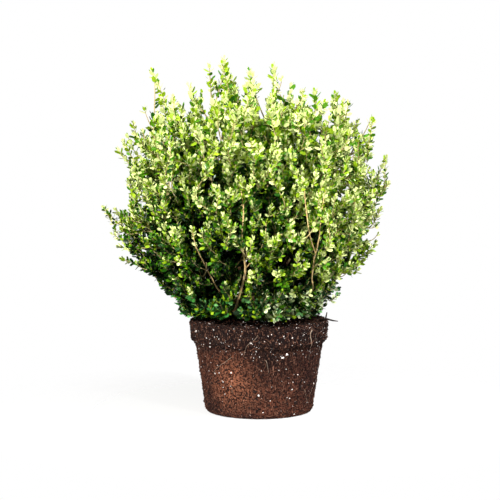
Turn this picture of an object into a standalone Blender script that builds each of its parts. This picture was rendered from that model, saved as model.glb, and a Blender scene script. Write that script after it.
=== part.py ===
"""A young boxwood, lifted out of its nursery pot and standing on its own root ball.

The root ball keeps the shape of the pot: a tapered plug with the band that the pot's rim pressed into it.
A short trunk forks just above the soil into boughs that fan out like a vase and bend upwards. Each bough
carries one mass of twigs and leaves.

The crown is worked out round the foot of the trunk. Every bough has a direction of its own, and a point
belongs to the bough whose direction is nearest, so the masses meet without touching. One bend, the same all
round, then leans the inner crown outwards, and with it the boughs and the walls between the masses.

Metres, +Z up. The origin is the centre of the root ball's flat underside, and the picture's right is +X.
"""

import math
import random
from typing import NamedTuple

import bmesh
import bpy
import numpy as np
from mathutils import Vector
from mathutils.bvhtree import BVHTree

# Root ball, shaped by a pot of about 11 litres
BALL_HEIGHT = 0.185
COLLAR_TOP_RADIUS = 0.1385
COLLAR_FOOT_RADIUS = 0.1355
COLLAR_DEPTH = 0.040
COLLAR_STEP = 0.007
BODY_TOP_RADIUS = 0.1265
BASE_RADIUS = 0.1075
BASE_ROUNDING = 0.007
SOIL_RISE = 0.006  # the soil stands this much higher round the trunk than at the rim
SOIL_SEAT_RADIUS = 0.026  # level patch of soil under the trunk's flare
BALL_SIDES = 36
BALL_LUMP = 0.0016
BODY_ROWS = 5
SOIL_SLOPE = ((0.060, 0.004), (0.100, 0.001))  # radius, and height above the collar's top
COLLAR_ROUNDING = (0.006, 0.004)  # the collar's upper edge is cut off this far in and this far down

# The crown, measured from the foot of the trunk: its outline as reach at each lean from upright
FOOT = Vector((-0.020, -0.004, BALL_HEIGHT + SOIL_RISE))
OUTLINE_LEANS = np.radians((0, 12, 22, 32, 42, 52, 60, 66, 74, 90))
OUTLINE_REACHES = np.array((0.478, 0.478, 0.472, 0.452, 0.404, 0.345, 0.298, 0.250, 0.174, 0.140))
CROWN_REACH = 0.50
BEND = 0.34  # radians by which the inmost crown leans out, halfway between upright and level
UNBENDING_STEPS = 30
LOWEST_TIP_LEAN = math.radians(82)

# The shoots that stand out of the crown: lean in degrees, to the left negative, and reach
LONG_SHOOTS = (
    (-72, 0.175), (-65, 0.290), (-59, 0.338), (-54, 0.376), (-47, 0.367), (-38, 0.432),
    (-30, 0.434), (-21.5, 0.535), (-15, 0.486), (-9, 0.514), (-5.5, 0.524), (0, 0.498),
    (5.5, 0.510), (10.5, 0.478), (16.5, 0.478), (21.5, 0.485), (25, 0.478), (31.5, 0.473),
    (40.5, 0.428), (46, 0.396), (51.5, 0.350), (61, 0.290), (73, 0.196),
)
LONG_SHOOT_SPREAD = 0.22  # radians to either side of the picture's plane

# Trunk, from its flat cut on the soil to its fork
TRUNK_HEIGHT = 0.058
TRUNK_LEAN = math.radians(5)
TRUNK_TOP_RADIUS = 0.0088
TRUNK_TAPER = 0.25
TRUNK_FLARE = 0.0085
FLARE_HEIGHT = 0.010
TRUNK_SIDES = 12
TRUNK_RINGS = (0, 0.004, 0.010, 0.020, 0.038, TRUNK_HEIGHT)
STUB_LENGTH = 0.003  # a stub for each limb stands this far out of the bark
STUB_SWELLS = (1.10, 1.04)  # of its limb's radius, inside the trunk and at the stub's end
FACE_GAP = 0.0003


class Ring(NamedTuple):
    """Limbs that leave the trunk at one height and lean out alike."""

    name: str
    count: int
    lean: float
    first_azimuth: float
    fork_height: float
    fork_offset: float
    base_radius: float
    tip_radius: float
    bare_reach: float  # where the bough ends and its foliage starts


RINGS = (
    Ring("leader", 3, math.radians(9), math.radians(190), 0.0545, 0.0046, 0.0040, 0.0026, 0.150),
    Ring("middle", 6, math.radians(26), math.radians(17), 0.0415, 0.0, 0.0036, 0.0024, 0.135),
    Ring("outer", 8, math.radians(46), math.radians(11), 0.0265, 0.0, 0.0031, 0.0022, 0.095),
    Ring("skirt", 7, math.radians(68), math.radians(24), 0.0105, 0.0, 0.0020, 0.0020, 0.0),
)
RING_JITTER = math.radians(3.0)
LIMB_SIDES = 6
LIMB_STEPS = 4
LIMB_SPRING = 0.35  # share of a bough's length over which each end keeps its own heading
LIMB_OUTWARDS = 0.08  # a bough sets off this much flatter than straight at its end

# Foliage
TIP_COUNT = 92  # twig tips spread over the crown, besides the long shoots
DEALING_POWER = 0.7  # of the reach, when tips are dealt over the leans: 2 would deal them by area
TIP_JITTER = 0.1  # radians
TIP_REACHES = (0.86, 0.99)  # share of the outline that a twig's tip reaches
INNER_TIP_REACHES = (0.50, 0.75)
INNER_TIP_EVERY = 4
TWIG_SIDES = 3
TWIG_STEPS = 3
TWIG_BASE_RADIUS = 0.0018
TWIG_TIP_RADIUS = 0.0010
FORK_ANGLE = math.radians(34)
TIP_YIELDINGS = (0, 0.2, 0.4, 0.6)  # how far a tip gives way to its mass's own direction
FIRST_FORK = 0.012  # from the start of a mass's stem to its first twig
LAST_FORK = 0.94  # share of that stem at which its last twig leaves it
TWIG_BOW = 0.09  # how far a twig bows outwards, as a share of its length
STEM_REACH = 0.93  # share of the outline that a mass's own stem reaches
STEM_STEPS = 5
STEM_TAPER = 0.6
LEAF_LENGTH = 0.043
LEAF_WIDTH = 0.026
LEAF_THICKNESS = 0.0030
LEAF_WIDEST = 0.5  # of its length, from the root
LEAF_ANGLE = math.radians(48)
LEAF_SIZES = (0.88, 1.08)
LEAF_OPENINGS = (1, 0.6, 0.25)  # shares of that angle, for a leaf without the room to open further
ROOT_STAGGER = 0.0012  # the two leaves of a pair sit this far above and below their common place
TIP_LEAF_ROOT = 0.006  # depth of the last leaf's root in the branch's tip
PAIR_SPACING = 0.029
PAIR_SPREAD = (0.9, 1.1)
LEAFY_SHARE = 0.72  # of a twig's length, from its tip
STEM_LEAFY_SHARE = 0.92
TIP_LEAF_REACH = LEAF_LENGTH - TIP_LEAF_ROOT  # how far the last leaf goes on from its branch
OUTLINE_SLACK = 1.13  # twigs and leaves stand this far out of the crown's even outline at most
SPACE_GAP = 0.0012  # kept free on each side of the wall between two masses
LIMB_GAP = 0.0012
SOIL_GAP = 0.004
INNER_REACH = 0.070  # no leaf and no twig lies nearer to the trunk's foot
CORE_SHARE = 0.50  # of the way from a mass's middle to the edge of its space
CORE_STRETCH = 1.7  # the core's longest way out against its shortest
CORE_ROUGHNESS = 0.25
CORE_HALVINGS = 12
CORE_LEAVES = 8
CORE_LEAF_HEIGHTS = (0.7, -0.5)  # on the core, where 1 is its end away from the trunk
CORE_LEAF_LIFT = 0.45
CORE_LEAF_ROOT = 0.85  # share of the core's radius at which such a leaf is rooted
CORE_MIDDLE = 0.62  # of the reach
GOLDEN_ANGLE = math.pi * (3 - math.sqrt(5))
MERGE_DISTANCE = 0.00002
SEED = 11


def material(name, colour, roughness):
    made = bpy.data.materials.new(name)
    made.use_nodes = True
    shader = made.node_tree.nodes["Principled BSDF"]
    shader.inputs["Base Color"].default_value = (*colour, 1.0)
    shader.inputs["Roughness"].default_value = roughness
    shader.inputs["Metallic"].default_value = 0.0
    made.diffuse_color = (*colour, 1.0)
    return made


def across(direction):
    """Two directions square to this one and to each other."""
    helper = Vector((0, 0, 1)) if abs(direction.z) < 0.9 else Vector((1, 0, 0))
    first = direction.cross(helper).normalized()
    return first, direction.cross(first)


def tube(path, radii, sides, heading=None, last_heading=None, pointed=False):
    """Points and faces of a closed tube round a path, square to its headings at both ends.

    A pointed tube ends in a tip in place of a face.
    """
    rings = len(path) - 1 if pointed else len(path)
    befores, afters = [path[0], *path], [*path[1:], path[-1]]
    headings = [(after - before).normalized() for before, after in zip(befores, afters)][:rings]
    headings[0] = heading or headings[0]
    headings[-1] = last_heading or headings[-1]
    first = across(headings[0])[0]
    points, faces = [], []
    for centre, radius, ahead in zip(path, radii, headings):
        first = (first - ahead * first.dot(ahead)).normalized()
        second = ahead.cross(first)
        for side in range(sides):
            turn = 2 * math.pi * side / sides
            points.append(centre + (first * math.cos(turn) + second * math.sin(turn)) * radius)
    for step in range(rings - 1):
        low, high = step * sides, (step + 1) * sides
        for side in range(sides):
            following = (side + 1) % sides
            faces.append((low + side, low + following, high + following, high + side))
    faces.append(tuple(reversed(range(sides))))
    last = (rings - 1) * sides
    if pointed:
        points.append(path[-1])
        faces += [(last + side, last + (side + 1) % sides, len(points) - 1) for side in range(sides)]
    else:
        faces.append(tuple(range(last, last + sides)))
    return points, faces


def new_object(name, points, faces, finish):
    mesh = bpy.data.meshes.new(name)
    mesh.from_pydata([tuple(point) for point in points], [], faces)
    mesh.materials.append(finish)
    made = bpy.data.objects.new(name, mesh)
    bpy.context.scene.collection.objects.link(made)
    return made


def flaps(work):
    """Faces with an edge that no other face shares, as folding two faces together leaves them."""
    return [face for face in work.faces if any(edge.is_boundary for edge in face.edges)]


def clean(mesh):
    """Merges the hair-thin faces that a union leaves, and drops every shell but the largest.

    The others are loose scraps, and the walls of a hollow that the union sealed.
    """
    work = bmesh.new()
    work.from_mesh(mesh)
    bmesh.ops.triangulate(work, faces=work.faces[:])
    bmesh.ops.remove_doubles(work, verts=work.verts[:], dist=MERGE_DISTANCE)
    bmesh.ops.dissolve_degenerate(work, edges=work.edges[:], dist=MERGE_DISTANCE)
    bmesh.ops.triangulate(work, faces=work.faces[:])
    while flaps(work):
        bmesh.ops.delete(work, geom=flaps(work), context="FACES")

    unseen, shells = set(work.verts), []
    while unseen:
        shell, front = set(), [unseen.pop()]
        while front:
            vertex = front.pop()
            shell.add(vertex)
            near = {edge.other_vert(vertex) for edge in vertex.link_edges} & unseen
            unseen -= near
            front.extend(near)
        shells.append(shell)
    loose = set(work.verts) - max(shells, key=len)
    bmesh.ops.delete(work, geom=list(loose), context="VERTS")
    work.to_mesh(mesh)
    work.free()


def fused(name, shapes, finish):
    """One closed body made of shapes that run into each other."""
    whole, *others = (new_object(name, points, faces, finish) for points, faces in shapes)
    joining = bpy.data.collections.new(name + "_joining")
    bpy.context.scene.collection.children.link(joining)
    for other in others:
        joining.objects.link(other)
        bpy.context.scene.collection.objects.unlink(other)
    union = whole.modifiers.new("union", "BOOLEAN")
    union.operation = "UNION"
    union.operand_type = "COLLECTION"
    union.collection = joining
    union.solver = "EXACT"
    mesh = bpy.data.meshes.new_from_object(whole.evaluated_get(bpy.context.evaluated_depsgraph_get()))
    whole.modifiers.clear()
    whole.data = mesh
    for other in others:
        bpy.data.objects.remove(other)
    bpy.data.collections.remove(joining)
    clean(mesh)
    return whole


def ball_profile():
    """(radius, height) over the root ball, from the soil's middle to the underside's edge."""
    collar_foot = BALL_HEIGHT - COLLAR_DEPTH
    body_top = collar_foot - COLLAR_STEP
    body = [
        (BODY_TOP_RADIUS + (BASE_RADIUS - BODY_TOP_RADIUS) * share, body_top * (1 - share))
        for share in np.linspace(0, 1, BODY_ROWS, endpoint=False)
    ]
    rounding = [
        (BASE_RADIUS + BASE_ROUNDING * (math.cos(turn) - 1), BASE_ROUNDING * (1 - math.sin(turn)))
        for turn in np.linspace(0, math.pi / 2, 3)
    ]
    return [
        (SOIL_SEAT_RADIUS, BALL_HEIGHT + SOIL_RISE - FACE_GAP),
        *((radius, BALL_HEIGHT + rise) for radius, rise in SOIL_SLOPE),
        (COLLAR_TOP_RADIUS - COLLAR_ROUNDING[0], BALL_HEIGHT),
        (COLLAR_TOP_RADIUS, BALL_HEIGHT - COLLAR_ROUNDING[1]),
        ((COLLAR_TOP_RADIUS + COLLAR_FOOT_RADIUS) / 2, BALL_HEIGHT - COLLAR_DEPTH / 2),
        (COLLAR_FOOT_RADIUS, collar_foot),
        *body,
        *rounding,
    ]


def root_ball(finish):
    """The plug of soil and roots, turned from its profile and gently lumpy down its side."""
    noise = random.Random(SEED)
    profile = ball_profile()
    soil_rows, base_row = 1 + len(SOIL_SLOPE), len(profile) - 1
    points, faces = [], []
    for row, (radius, height) in enumerate(profile):
        # The rows on the soil ring the trunk's foot, and fade from there to the ball's own middle.
        off_centre = max(0, 1 - row / soil_rows)
        for side in range(BALL_SIDES):
            turn = 2 * math.pi * side / BALL_SIDES
            lump = BALL_LUMP * noise.uniform(-1, 1) if soil_rows <= row < base_row - 2 else 0
            x = FOOT.x * off_centre + (radius + lump) * math.cos(turn)
            y = FOOT.y * off_centre + (radius + lump) * math.sin(turn)
            points.append((x, y, height))
    for row in range(base_row):
        high, low = row * BALL_SIDES, (row + 1) * BALL_SIDES
        for side in range(BALL_SIDES):
            following = (side + 1) % BALL_SIDES
            faces.append((low + side, low + following, high + following, high + side))
    faces.append(tuple(range(BALL_SIDES)))
    faces.append(tuple(reversed(range(base_row * BALL_SIDES, len(points)))))
    return new_object("root_ball", points, faces, finish)


def unit_at(azimuth, lean):
    """The direction that leans this far from upright, towards this azimuth."""
    flat = math.sin(lean)
    return Vector((flat * math.cos(azimuth), flat * math.sin(azimuth), math.cos(lean)))


def outline_reach(lean):
    """How far the crown reaches from the foot of the trunk in a direction with this lean."""
    return np.interp(lean, OUTLINE_LEANS, OUTLINE_REACHES)


def lean_of(points, distance):
    return np.arccos(np.clip(points[:, 2] / distance, -1, 1))


def bend_at(distance):
    return BEND * np.clip(1 - distance / CROWN_REACH, 0, 1)


def with_lean(points, distance, lean):
    """The points turned about the foot of the trunk to new leans, each at its own azimuth and distance."""
    azimuth = np.arctan2(points[:, 1], points[:, 0])
    flat = distance * np.sin(lean)
    return np.column_stack((flat * np.cos(azimuth), flat * np.sin(azimuth), distance * np.cos(lean)))


def bent(points):
    """Moves points of the straight crown, where boughs are rays, to where the bend puts them."""
    points = np.array(points, float)
    distance = np.maximum(np.linalg.norm(points, axis=1), 1e-6)
    lean = lean_of(points, distance)
    moved = with_lean(points, distance, lean + bend_at(distance) * np.sin(2 * lean))
    return [Vector(point) for point in moved]


def straightened(points):
    """The way back from bent, found by closing in on the lean."""
    points = np.array(points, float)
    distance = np.maximum(np.linalg.norm(points, axis=1), 1e-6)
    lean = lean_of(points, distance)
    straight = lean
    for _ in range(UNBENDING_STEPS):
        straight = lean - bend_at(distance) * np.sin(2 * straight)
    return with_lean(points, distance, straight)


def trunk_point(height):
    return Vector((height * math.tan(TRUNK_LEAN), 0, height))


def trunk_radius(height):
    taper = 1 + TRUNK_TAPER * (1 - height / TRUNK_HEIGHT)
    return TRUNK_TOP_RADIUS * taper + TRUNK_FLARE * math.exp(-height / FLARE_HEIGHT)


class Limb:
    """Where a bough leaves the trunk, and where its foliage starts. A skirt mass has no bough of its own."""

    def __init__(self, ring, number, noise):
        azimuth = ring.first_azimuth + 2 * math.pi * number / ring.count
        azimuth += noise.uniform(-1, 1) * RING_JITTER
        lean = ring.lean + noise.uniform(-1, 1) * RING_JITTER / 2
        self.ring = ring
        self.name = f"{ring.name}_{number + 1}"
        self.unit = unit_at(azimuth, lean)
        further = ring.bare_reach + FIRST_FORK
        self.end, beyond = bent([self.unit * ring.bare_reach, self.unit * further])
        self.end_heading = (beyond - self.end).normalized()

        outwards = Vector((math.cos(azimuth), math.sin(azimuth), 0))
        fork = trunk_point(ring.fork_height) + outwards * ring.fork_offset
        aim = self.end if ring.bare_reach else bent([self.unit * INNER_REACH])[0]
        self.heading = ((aim - fork).normalized() + outwards * LIMB_OUTWARDS).normalized()
        inside = TRUNK_HEIGHT - ring.fork_height
        if not ring.fork_offset:
            # The whole end of a side limb's stub has to clear the trunk's bark.
            tilt = math.acos(self.heading.z)
            clear = trunk_radius(ring.fork_height) + ring.base_radius * math.cos(tilt)
            inside = clear / math.sin(tilt)
        self.fork = fork
        self.stub_end = fork + self.heading * (inside + STUB_LENGTH)
        self.start = self.stub_end + self.heading * FACE_GAP

    def path(self):
        """The bough's middle line, a cubic curve that keeps its heading at both ends."""
        spring = (self.end - self.start).length * LIMB_SPRING
        first, second = self.start + self.heading * spring, self.end - self.end_heading * spring
        return [
            self.start * (1 - share) ** 3
            + first * 3 * (1 - share) ** 2 * share
            + second * 3 * (1 - share) * share**2
            + self.end * share**3
            for share in np.linspace(0, 1, LIMB_STEPS + 1)
        ]

    def radii(self):
        return np.linspace(self.ring.base_radius, self.ring.tip_radius, LIMB_STEPS + 1)


def bough(limb, finish):
    shape = tube(limb.path(), limb.radii(), LIMB_SIDES, limb.heading, limb.end_heading)
    return new_object("bough_" + limb.name, *shape, finish)


def trunk(limbs, finish):
    """The short main stem, flared at the soil, with the stub of every limb on it."""
    path = [trunk_point(height) for height in TRUNK_RINGS]
    points, faces = tube(path, [trunk_radius(height) for height in TRUNK_RINGS], TRUNK_SIDES)
    for point in points[:TRUNK_SIDES]:
        point.z = 0  # the flat cut at the soil
    shapes = [(points, faces)]
    for limb in limbs:
        radii = [limb.ring.base_radius * swell for swell in STUB_SWELLS]
        shapes.append(tube([limb.fork, limb.stub_end], radii, LIMB_SIDES))
    return fused("trunk", shapes, finish)


class Space:
    """The room of one mass: the directions nearest to its own, inside the outline and clear of every limb."""

    def __init__(self, limb, limbs):
        walls = np.array([limb.unit - other.unit for other in limbs if other is not limb])
        self.walls = walls / np.linalg.norm(walls, axis=1)[:, None]
        boughs = [other for other in limbs if other.ring.bare_reach]
        self.limb_points = np.array([point for other in boughs for point in other.path()])
        self.limb_radii = np.array([radius for other in boughs for radius in other.radii()])

    def holds(self, points):
        """Whether every point lies in this space."""
        points = np.array(points, float)
        distance = np.linalg.norm(points, axis=1)
        if (distance < INNER_REACH).any() or (points[:, 2] < SOIL_GAP).any():
            return False
        if (distance > outline_reach(lean_of(points, distance)) * OUTLINE_SLACK).any():
            return False
        if (straightened(points) @ self.walls.T < SPACE_GAP).any():
            return False
        apart = np.linalg.norm(points[:, None] - self.limb_points[None], axis=2) - self.limb_radii
        return bool((apart > LIMB_GAP).all())


def crown_tips(noise):
    """Where twigs end: the long shoots, then tips spread evenly over the crown by the golden angle."""
    tips = []
    for lean, reach in LONG_SHOOTS:
        azimuth = noise.uniform(-1, 1) * LONG_SHOOT_SPREAD + (math.pi if lean < 0 else 0)
        tips.append(unit_at(azimuth, math.radians(abs(lean))) * reach)
    leans = np.linspace(0, LOWEST_TIP_LEAN, 200)
    dealt = np.cumsum(outline_reach(leans) ** DEALING_POWER * np.sin(leans))
    for number in range(TIP_COUNT):
        lean = float(np.interp((number + 0.5) / TIP_COUNT, dealt / dealt[-1], leans))
        azimuth = number * GOLDEN_ANGLE + noise.uniform(-1, 1) * TIP_JITTER
        reaches = TIP_REACHES if number % INNER_TIP_EVERY else INNER_TIP_REACHES
        tips.append(unit_at(azimuth, lean) * outline_reach(lean) * noise.uniform(*reaches))
    return tips


class Core:
    """The dense inside of a mass: a rough ball drawn out towards the walls of its space."""

    def __init__(self, space, middle, noise):
        self.space = space
        self.middle = middle
        self.noise = noise
        ball = bmesh.new()
        bmesh.ops.create_icosphere(ball, subdivisions=1, radius=1.0)
        self.directions = [vertex.co.copy() for vertex in ball.verts]
        self.faces = [tuple(vertex.index for vertex in face.verts) for face in ball.faces]
        ball.free()
        self.longest = CORE_STRETCH * min(self.room(direction) for direction in self.directions)

    def room(self, direction):
        """How far it is from the middle to the edge of the space."""
        near, far = 0.0, CROWN_REACH
        for _ in range(CORE_HALVINGS):
            tried = (near + far) / 2
            if self.space.holds([self.middle + direction * tried]):
                near = tried
            else:
                far = tried
        return near

    def radius(self, direction):
        return CORE_SHARE * min(self.room(direction), self.longest)

    def shape(self):
        points = []
        for direction in self.directions:
            rough = 1 - self.noise.uniform(0, CORE_ROUGHNESS)
            points.append(self.middle + direction * self.radius(direction) * rough)
        return points, self.faces

    def covers(self, point):
        offset = point - self.middle
        return offset.length < self.radius(offset.normalized())


def leaf(seat, along, facing, length):
    """One leaf of four faces: a kite with a ridge down its midrib and its root at the seat."""
    side = along.cross(facing).normalized()
    up = side.cross(along)
    widest = seat + along * length * LEAF_WIDEST - up * LEAF_THICKNESS
    half_width = side * (LEAF_WIDTH / 2 * length / LEAF_LENGTH)
    points = [seat, widest + half_width, seat + along * length, widest - half_width]
    return points, [(0, 1, 2), (0, 2, 3), (1, 0, 3), (2, 1, 3)]


def twig_path(unit, first, last, tip):
    """The middle line of a twig that leaves its mass's stem at an easy angle and bows outwards.

    The tip is given in the straight crown, and the line is worked out there and then bent.
    """
    along = tip.dot(unit)
    aside = tip - unit * along
    fork = max(along - aside.length / math.tan(FORK_ANGLE), first + FIRST_FORK)
    start = unit * min(fork, last * LAST_FORK)
    pull = start.lerp(tip, 0.5) + aside.normalized() * (tip - start).length * TWIG_BOW
    shares = np.linspace(0, 1, TWIG_STEPS + 1)
    return bent([start.lerp(pull, share).lerp(pull.lerp(tip, share), share) for share in shares])


class Mass:
    """A mass of foliage as it grows. Twigs and leaves keep to its space, and leaves cross nothing."""

    def __init__(self, limb, limbs):
        self.limb = limb
        self.noise = random.Random(f"{SEED} {limb.name}")
        self.space = Space(limb, limbs)
        halfway = bent([limb.unit * CROWN_REACH / 2])[0]
        self.reach = float(outline_reach(math.acos(halfway.z / halfway.length)))
        self.first = limb.ring.bare_reach or INNER_REACH
        self.last = self.reach * STEM_REACH
        self.core = Core(self.space, bent([limb.unit * self.reach * CORE_MIDDLE])[0], self.noise)
        self.shapes = [self.core.shape()]
        self.obstacles = []

    def add_branch(self, path, radii, sides, heading=None):
        """Adds a pointed branch and returns what leaves have to keep clear of there."""
        shape = tube(path, radii, sides, heading, pointed=True)
        self.shapes.append(shape)
        self.obstacles.append(BVHTree.FromPolygons(*shape))
        return self.obstacles[-1]

    def add_stem(self):
        """The mass's own stem, which goes on from its bough, or from the trunk in the skirt."""
        distances = np.linspace(self.first, self.last, STEM_STEPS)
        line = [self.limb.unit * distance for distance in distances]
        if self.limb.ring.bare_reach:
            heading = self.limb.end_heading
            path = [self.limb.end + heading * FACE_GAP, *bent(line[1:])]
        else:
            heading = self.limb.heading
            path = [self.limb.start, *bent(line)]
        radii = np.linspace(1, STEM_TAPER, len(path)) * self.limb.ring.tip_radius
        return path, self.add_branch(path, radii, LIMB_SIDES, heading)

    def add_twig(self, tip):
        """A twig to this tip, or to one that gives way towards the mass's own direction."""
        tip = Vector(straightened([tip])[0])
        for yielding in TIP_YIELDINGS:
            aim = tip.lerp(self.limb.unit * tip.length, yielding)
            path = twig_path(self.limb.unit, self.first, self.last, aim)
            if self.space.holds(path[1:]):
                radii = np.linspace(TWIG_BASE_RADIUS, TWIG_TIP_RADIUS, len(path))
                return path, self.add_branch(path, radii, TWIG_SIDES)
        return None

    def fits(self, shape, own_branch=None):
        """The shape's tree for later tests, if it keeps to the space and crosses nothing else."""
        tree = BVHTree.FromPolygons(*shape)
        crossing = any(tree.overlap(other) for other in self.obstacles if other is not own_branch)
        return None if crossing or not self.space.holds(shape[0]) else tree

    def add_core_leaves(self):
        """Leaves that lie up against the core all round it, like scales on a bud."""
        first, second = across(self.limb.unit)
        for number, height in enumerate(np.linspace(*CORE_LEAF_HEIGHTS, CORE_LEAVES)):
            turn = number * GOLDEN_ANGLE
            out = first * math.cos(turn) + second * math.sin(turn)
            direction = (out * math.sqrt(1 - height**2) + self.limb.unit * height).normalized()
            seat = self.core.middle + direction * self.core.radius(direction) * CORE_LEAF_ROOT
            along = (self.limb.unit + direction * CORE_LEAF_LIFT).normalized()
            shape = leaf(seat, along, direction, LEAF_LENGTH)
            tree = self.fits(shape)
            if tree:
                self.shapes.append(shape)
                self.obstacles.append(tree)

    def fitting_leaf(self, seat, ahead, out, openings, own_branch):
        """The leaf at this seat that opens as far as there is room for it, or None."""
        length = LEAF_LENGTH * self.noise.uniform(*LEAF_SIZES)
        for opening in openings:
            along = ahead * math.cos(LEAF_ANGLE * opening) + out * math.sin(LEAF_ANGLE * opening)
            shape = leaf(seat, along, ahead - out, length)
            if not self.core.covers(seat + along * length / 2):
                tree = self.fits(shape, own_branch)
                if tree:
                    return shape, tree
        return None

    def add_leaves(self, path, own_branch, leafy_share):
        """One leaf at a branch's tip, then pairs down it, each pair square to the one before."""
        steps = [(after - before).length for before, after in zip(path, path[1:])]
        lengths = np.cumsum([0.0, *steps])
        bare = lengths[-1] * (1 - leafy_share)
        distance = lengths[-1] - TIP_LEAF_ROOT
        turn = self.noise.uniform(0, math.pi)
        sides, openings = (1,), (0,)
        while distance > bare:
            step = int(np.searchsorted(lengths[1:-1], distance, side="right"))
            share = (distance - lengths[step]) / (lengths[step + 1] - lengths[step])
            seat = path[step].lerp(path[step + 1], share)
            ahead = (path[step + 1] - path[step]).normalized()
            first, second = across(ahead)
            out = first * math.cos(turn) + second * math.sin(turn)
            pair = []
            for side in sides:
                root = seat + ahead * side * ROOT_STAGGER
                pair.append(self.fitting_leaf(root, ahead, out * side, openings, own_branch))
            for shape, tree in filter(None, pair):
                self.shapes.append(shape)
                self.obstacles.append(tree)
            distance -= PAIR_SPACING * self.noise.uniform(*PAIR_SPREAD)
            turn += math.pi / 2
            sides, openings = (1, -1), LEAF_OPENINGS


def foliage(limb, limbs, tips, finish):
    """One mass: a stem, a core, twigs and leaves, fused into one body."""
    mass = Mass(limb, limbs)
    branches = [(*mass.add_stem(), STEM_LEAFY_SHARE)]
    for tip in tips:
        twig = mass.add_twig(tip - tip.normalized() * TIP_LEAF_REACH)
        if twig:
            branches.append((*twig, LEAFY_SHARE))
    for path, own_branch, leafy_share in reversed(branches):
        mass.add_leaves(path, own_branch, leafy_share)
    mass.add_core_leaves()
    return fused("foliage_" + limb.name, mass.shapes, finish)


def build():
    for old in list(bpy.data.objects):
        bpy.data.objects.remove(old)
    soil = material("soil and fine roots", (0.115, 0.062, 0.040), 0.95)
    bark = material("boxwood bark", (0.36, 0.25, 0.15), 0.85)
    green = material("boxwood leaves", (0.16, 0.30, 0.05), 0.45)

    noise = random.Random(SEED)
    limbs = [Limb(ring, number, noise) for ring in RINGS for number in range(ring.count)]
    tips = crown_tips(noise)
    units = np.array([limb.unit for limb in limbs])
    nearest = np.argmax(straightened(tips) @ units.T, axis=1)

    root_ball(soil)
    parts = [trunk(limbs, bark)]
    parts += [bough(limb, bark) for limb in limbs if limb.ring.bare_reach]
    for number, limb in enumerate(limbs):
        own_tips = [tip for tip, owner in zip(tips, nearest) if owner == number]
        parts.append(foliage(limb, limbs, own_tips, green))

    crown = bpy.data.objects.new("crown", None)
    crown.location = FOOT
    bpy.context.scene.collection.objects.link(crown)
    for piece in parts:
        piece.parent = crown


build()
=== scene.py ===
"""A young boxwood on its bare root ball, on a white studio floor.

Metres, +Z up. The origin is the centre of the root ball's underside, and the picture's right is +X.
"""

import math
import random

import bmesh
import bpy
import numpy as np
from mathutils import Matrix, Vector, noise


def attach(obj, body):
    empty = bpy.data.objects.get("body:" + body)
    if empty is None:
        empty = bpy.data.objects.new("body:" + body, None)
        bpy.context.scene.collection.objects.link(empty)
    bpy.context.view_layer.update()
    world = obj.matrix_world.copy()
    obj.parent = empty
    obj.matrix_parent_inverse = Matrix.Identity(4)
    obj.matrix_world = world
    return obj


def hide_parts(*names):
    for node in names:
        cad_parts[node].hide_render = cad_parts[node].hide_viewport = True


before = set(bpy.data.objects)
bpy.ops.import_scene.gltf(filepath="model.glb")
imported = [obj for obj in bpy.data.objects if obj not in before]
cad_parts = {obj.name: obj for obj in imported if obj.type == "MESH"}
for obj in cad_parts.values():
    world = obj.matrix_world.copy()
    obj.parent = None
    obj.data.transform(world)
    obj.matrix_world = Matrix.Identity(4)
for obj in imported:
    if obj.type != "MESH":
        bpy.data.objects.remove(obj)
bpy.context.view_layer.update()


# The root ball: a plug of bark, coir and roots that keeps the shape of the nursery pot it was lifted from.
# The pot's rim pressed the wider band into it. Its matted side is rough, and its edges crumble.
BALL_HEIGHT = 0.185
SOIL_RISE = 0.006
BALL_ROWS = (  # radius, height, and how many steps lead there from the row before
    (0.000, BALL_HEIGHT + SOIL_RISE - 0.001, 1),
    (0.060, BALL_HEIGHT + 0.0035, 24),
    (0.100, BALL_HEIGHT + 0.0005, 18),
    (0.1325, BALL_HEIGHT - 0.0006, 16),
    (0.1383, BALL_HEIGHT - 0.0050, 5),
    (0.1365, 0.1490, 20),
    (0.1350, 0.1440, 3),
    (0.1285, 0.1390, 5),
    (0.1210, 0.1000, 22),
    (0.1080, 0.0075, 48),
    (0.1055, 0.0015, 4),
    (0.0995, 0.0000, 4),
    (0.0000, 0.0000, 3),
)
BALL_SIDES = 500
BALL_RELIEF = ((0.034, 0.0016), (0.010, 0.0016), (0.0040, 0.0015), (0.0022, 0.0007))  # its lumps: size, height
FLAT_FOOT = (0.006, 0.12)  # below this height lumps keep only this share, so that the ball stands flat
BAND_EDGES = ((BALL_HEIGHT, 0.012, 0.120), (0.1435, 0.006, 0.128))  # height, reach of the wear, and its least radius
BALL_CRUMBLING = 0.0045  # how far the band's edges have crumbled away in places
CRUMBLED_PLACE = 0.012
RUST = (0.088, 0.027, 0.014)
UMBER = (0.030, 0.009, 0.006)
PEAT = (0.007, 0.002, 0.0015)
SHADED_PLUM = (0.019, 0.005, 0.0052)
DARK_BAND = (0.006, 0.0028, 0.0026)
FIBRE = (0.27, 0.125, 0.078)
FLECK = (0.38, 0.24, 0.18)
SOIL_PATCHES = (  # centre, size each way and colour
    ((-0.058, -0.112, 0.070), (0.078, 0.060, 0.074), (0.260, 0.092, 0.047)),
    # The plum patch on the right is partly the soil's own plum tinge and partly painted shade on the ball's right
    # side.
    ((0.110, -0.060, 0.065), (0.065, 0.090, 0.090), SHADED_PLUM),
    ((0.030, -0.125, 0.112), (0.075, 0.060, 0.075), PEAT),
)


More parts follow.
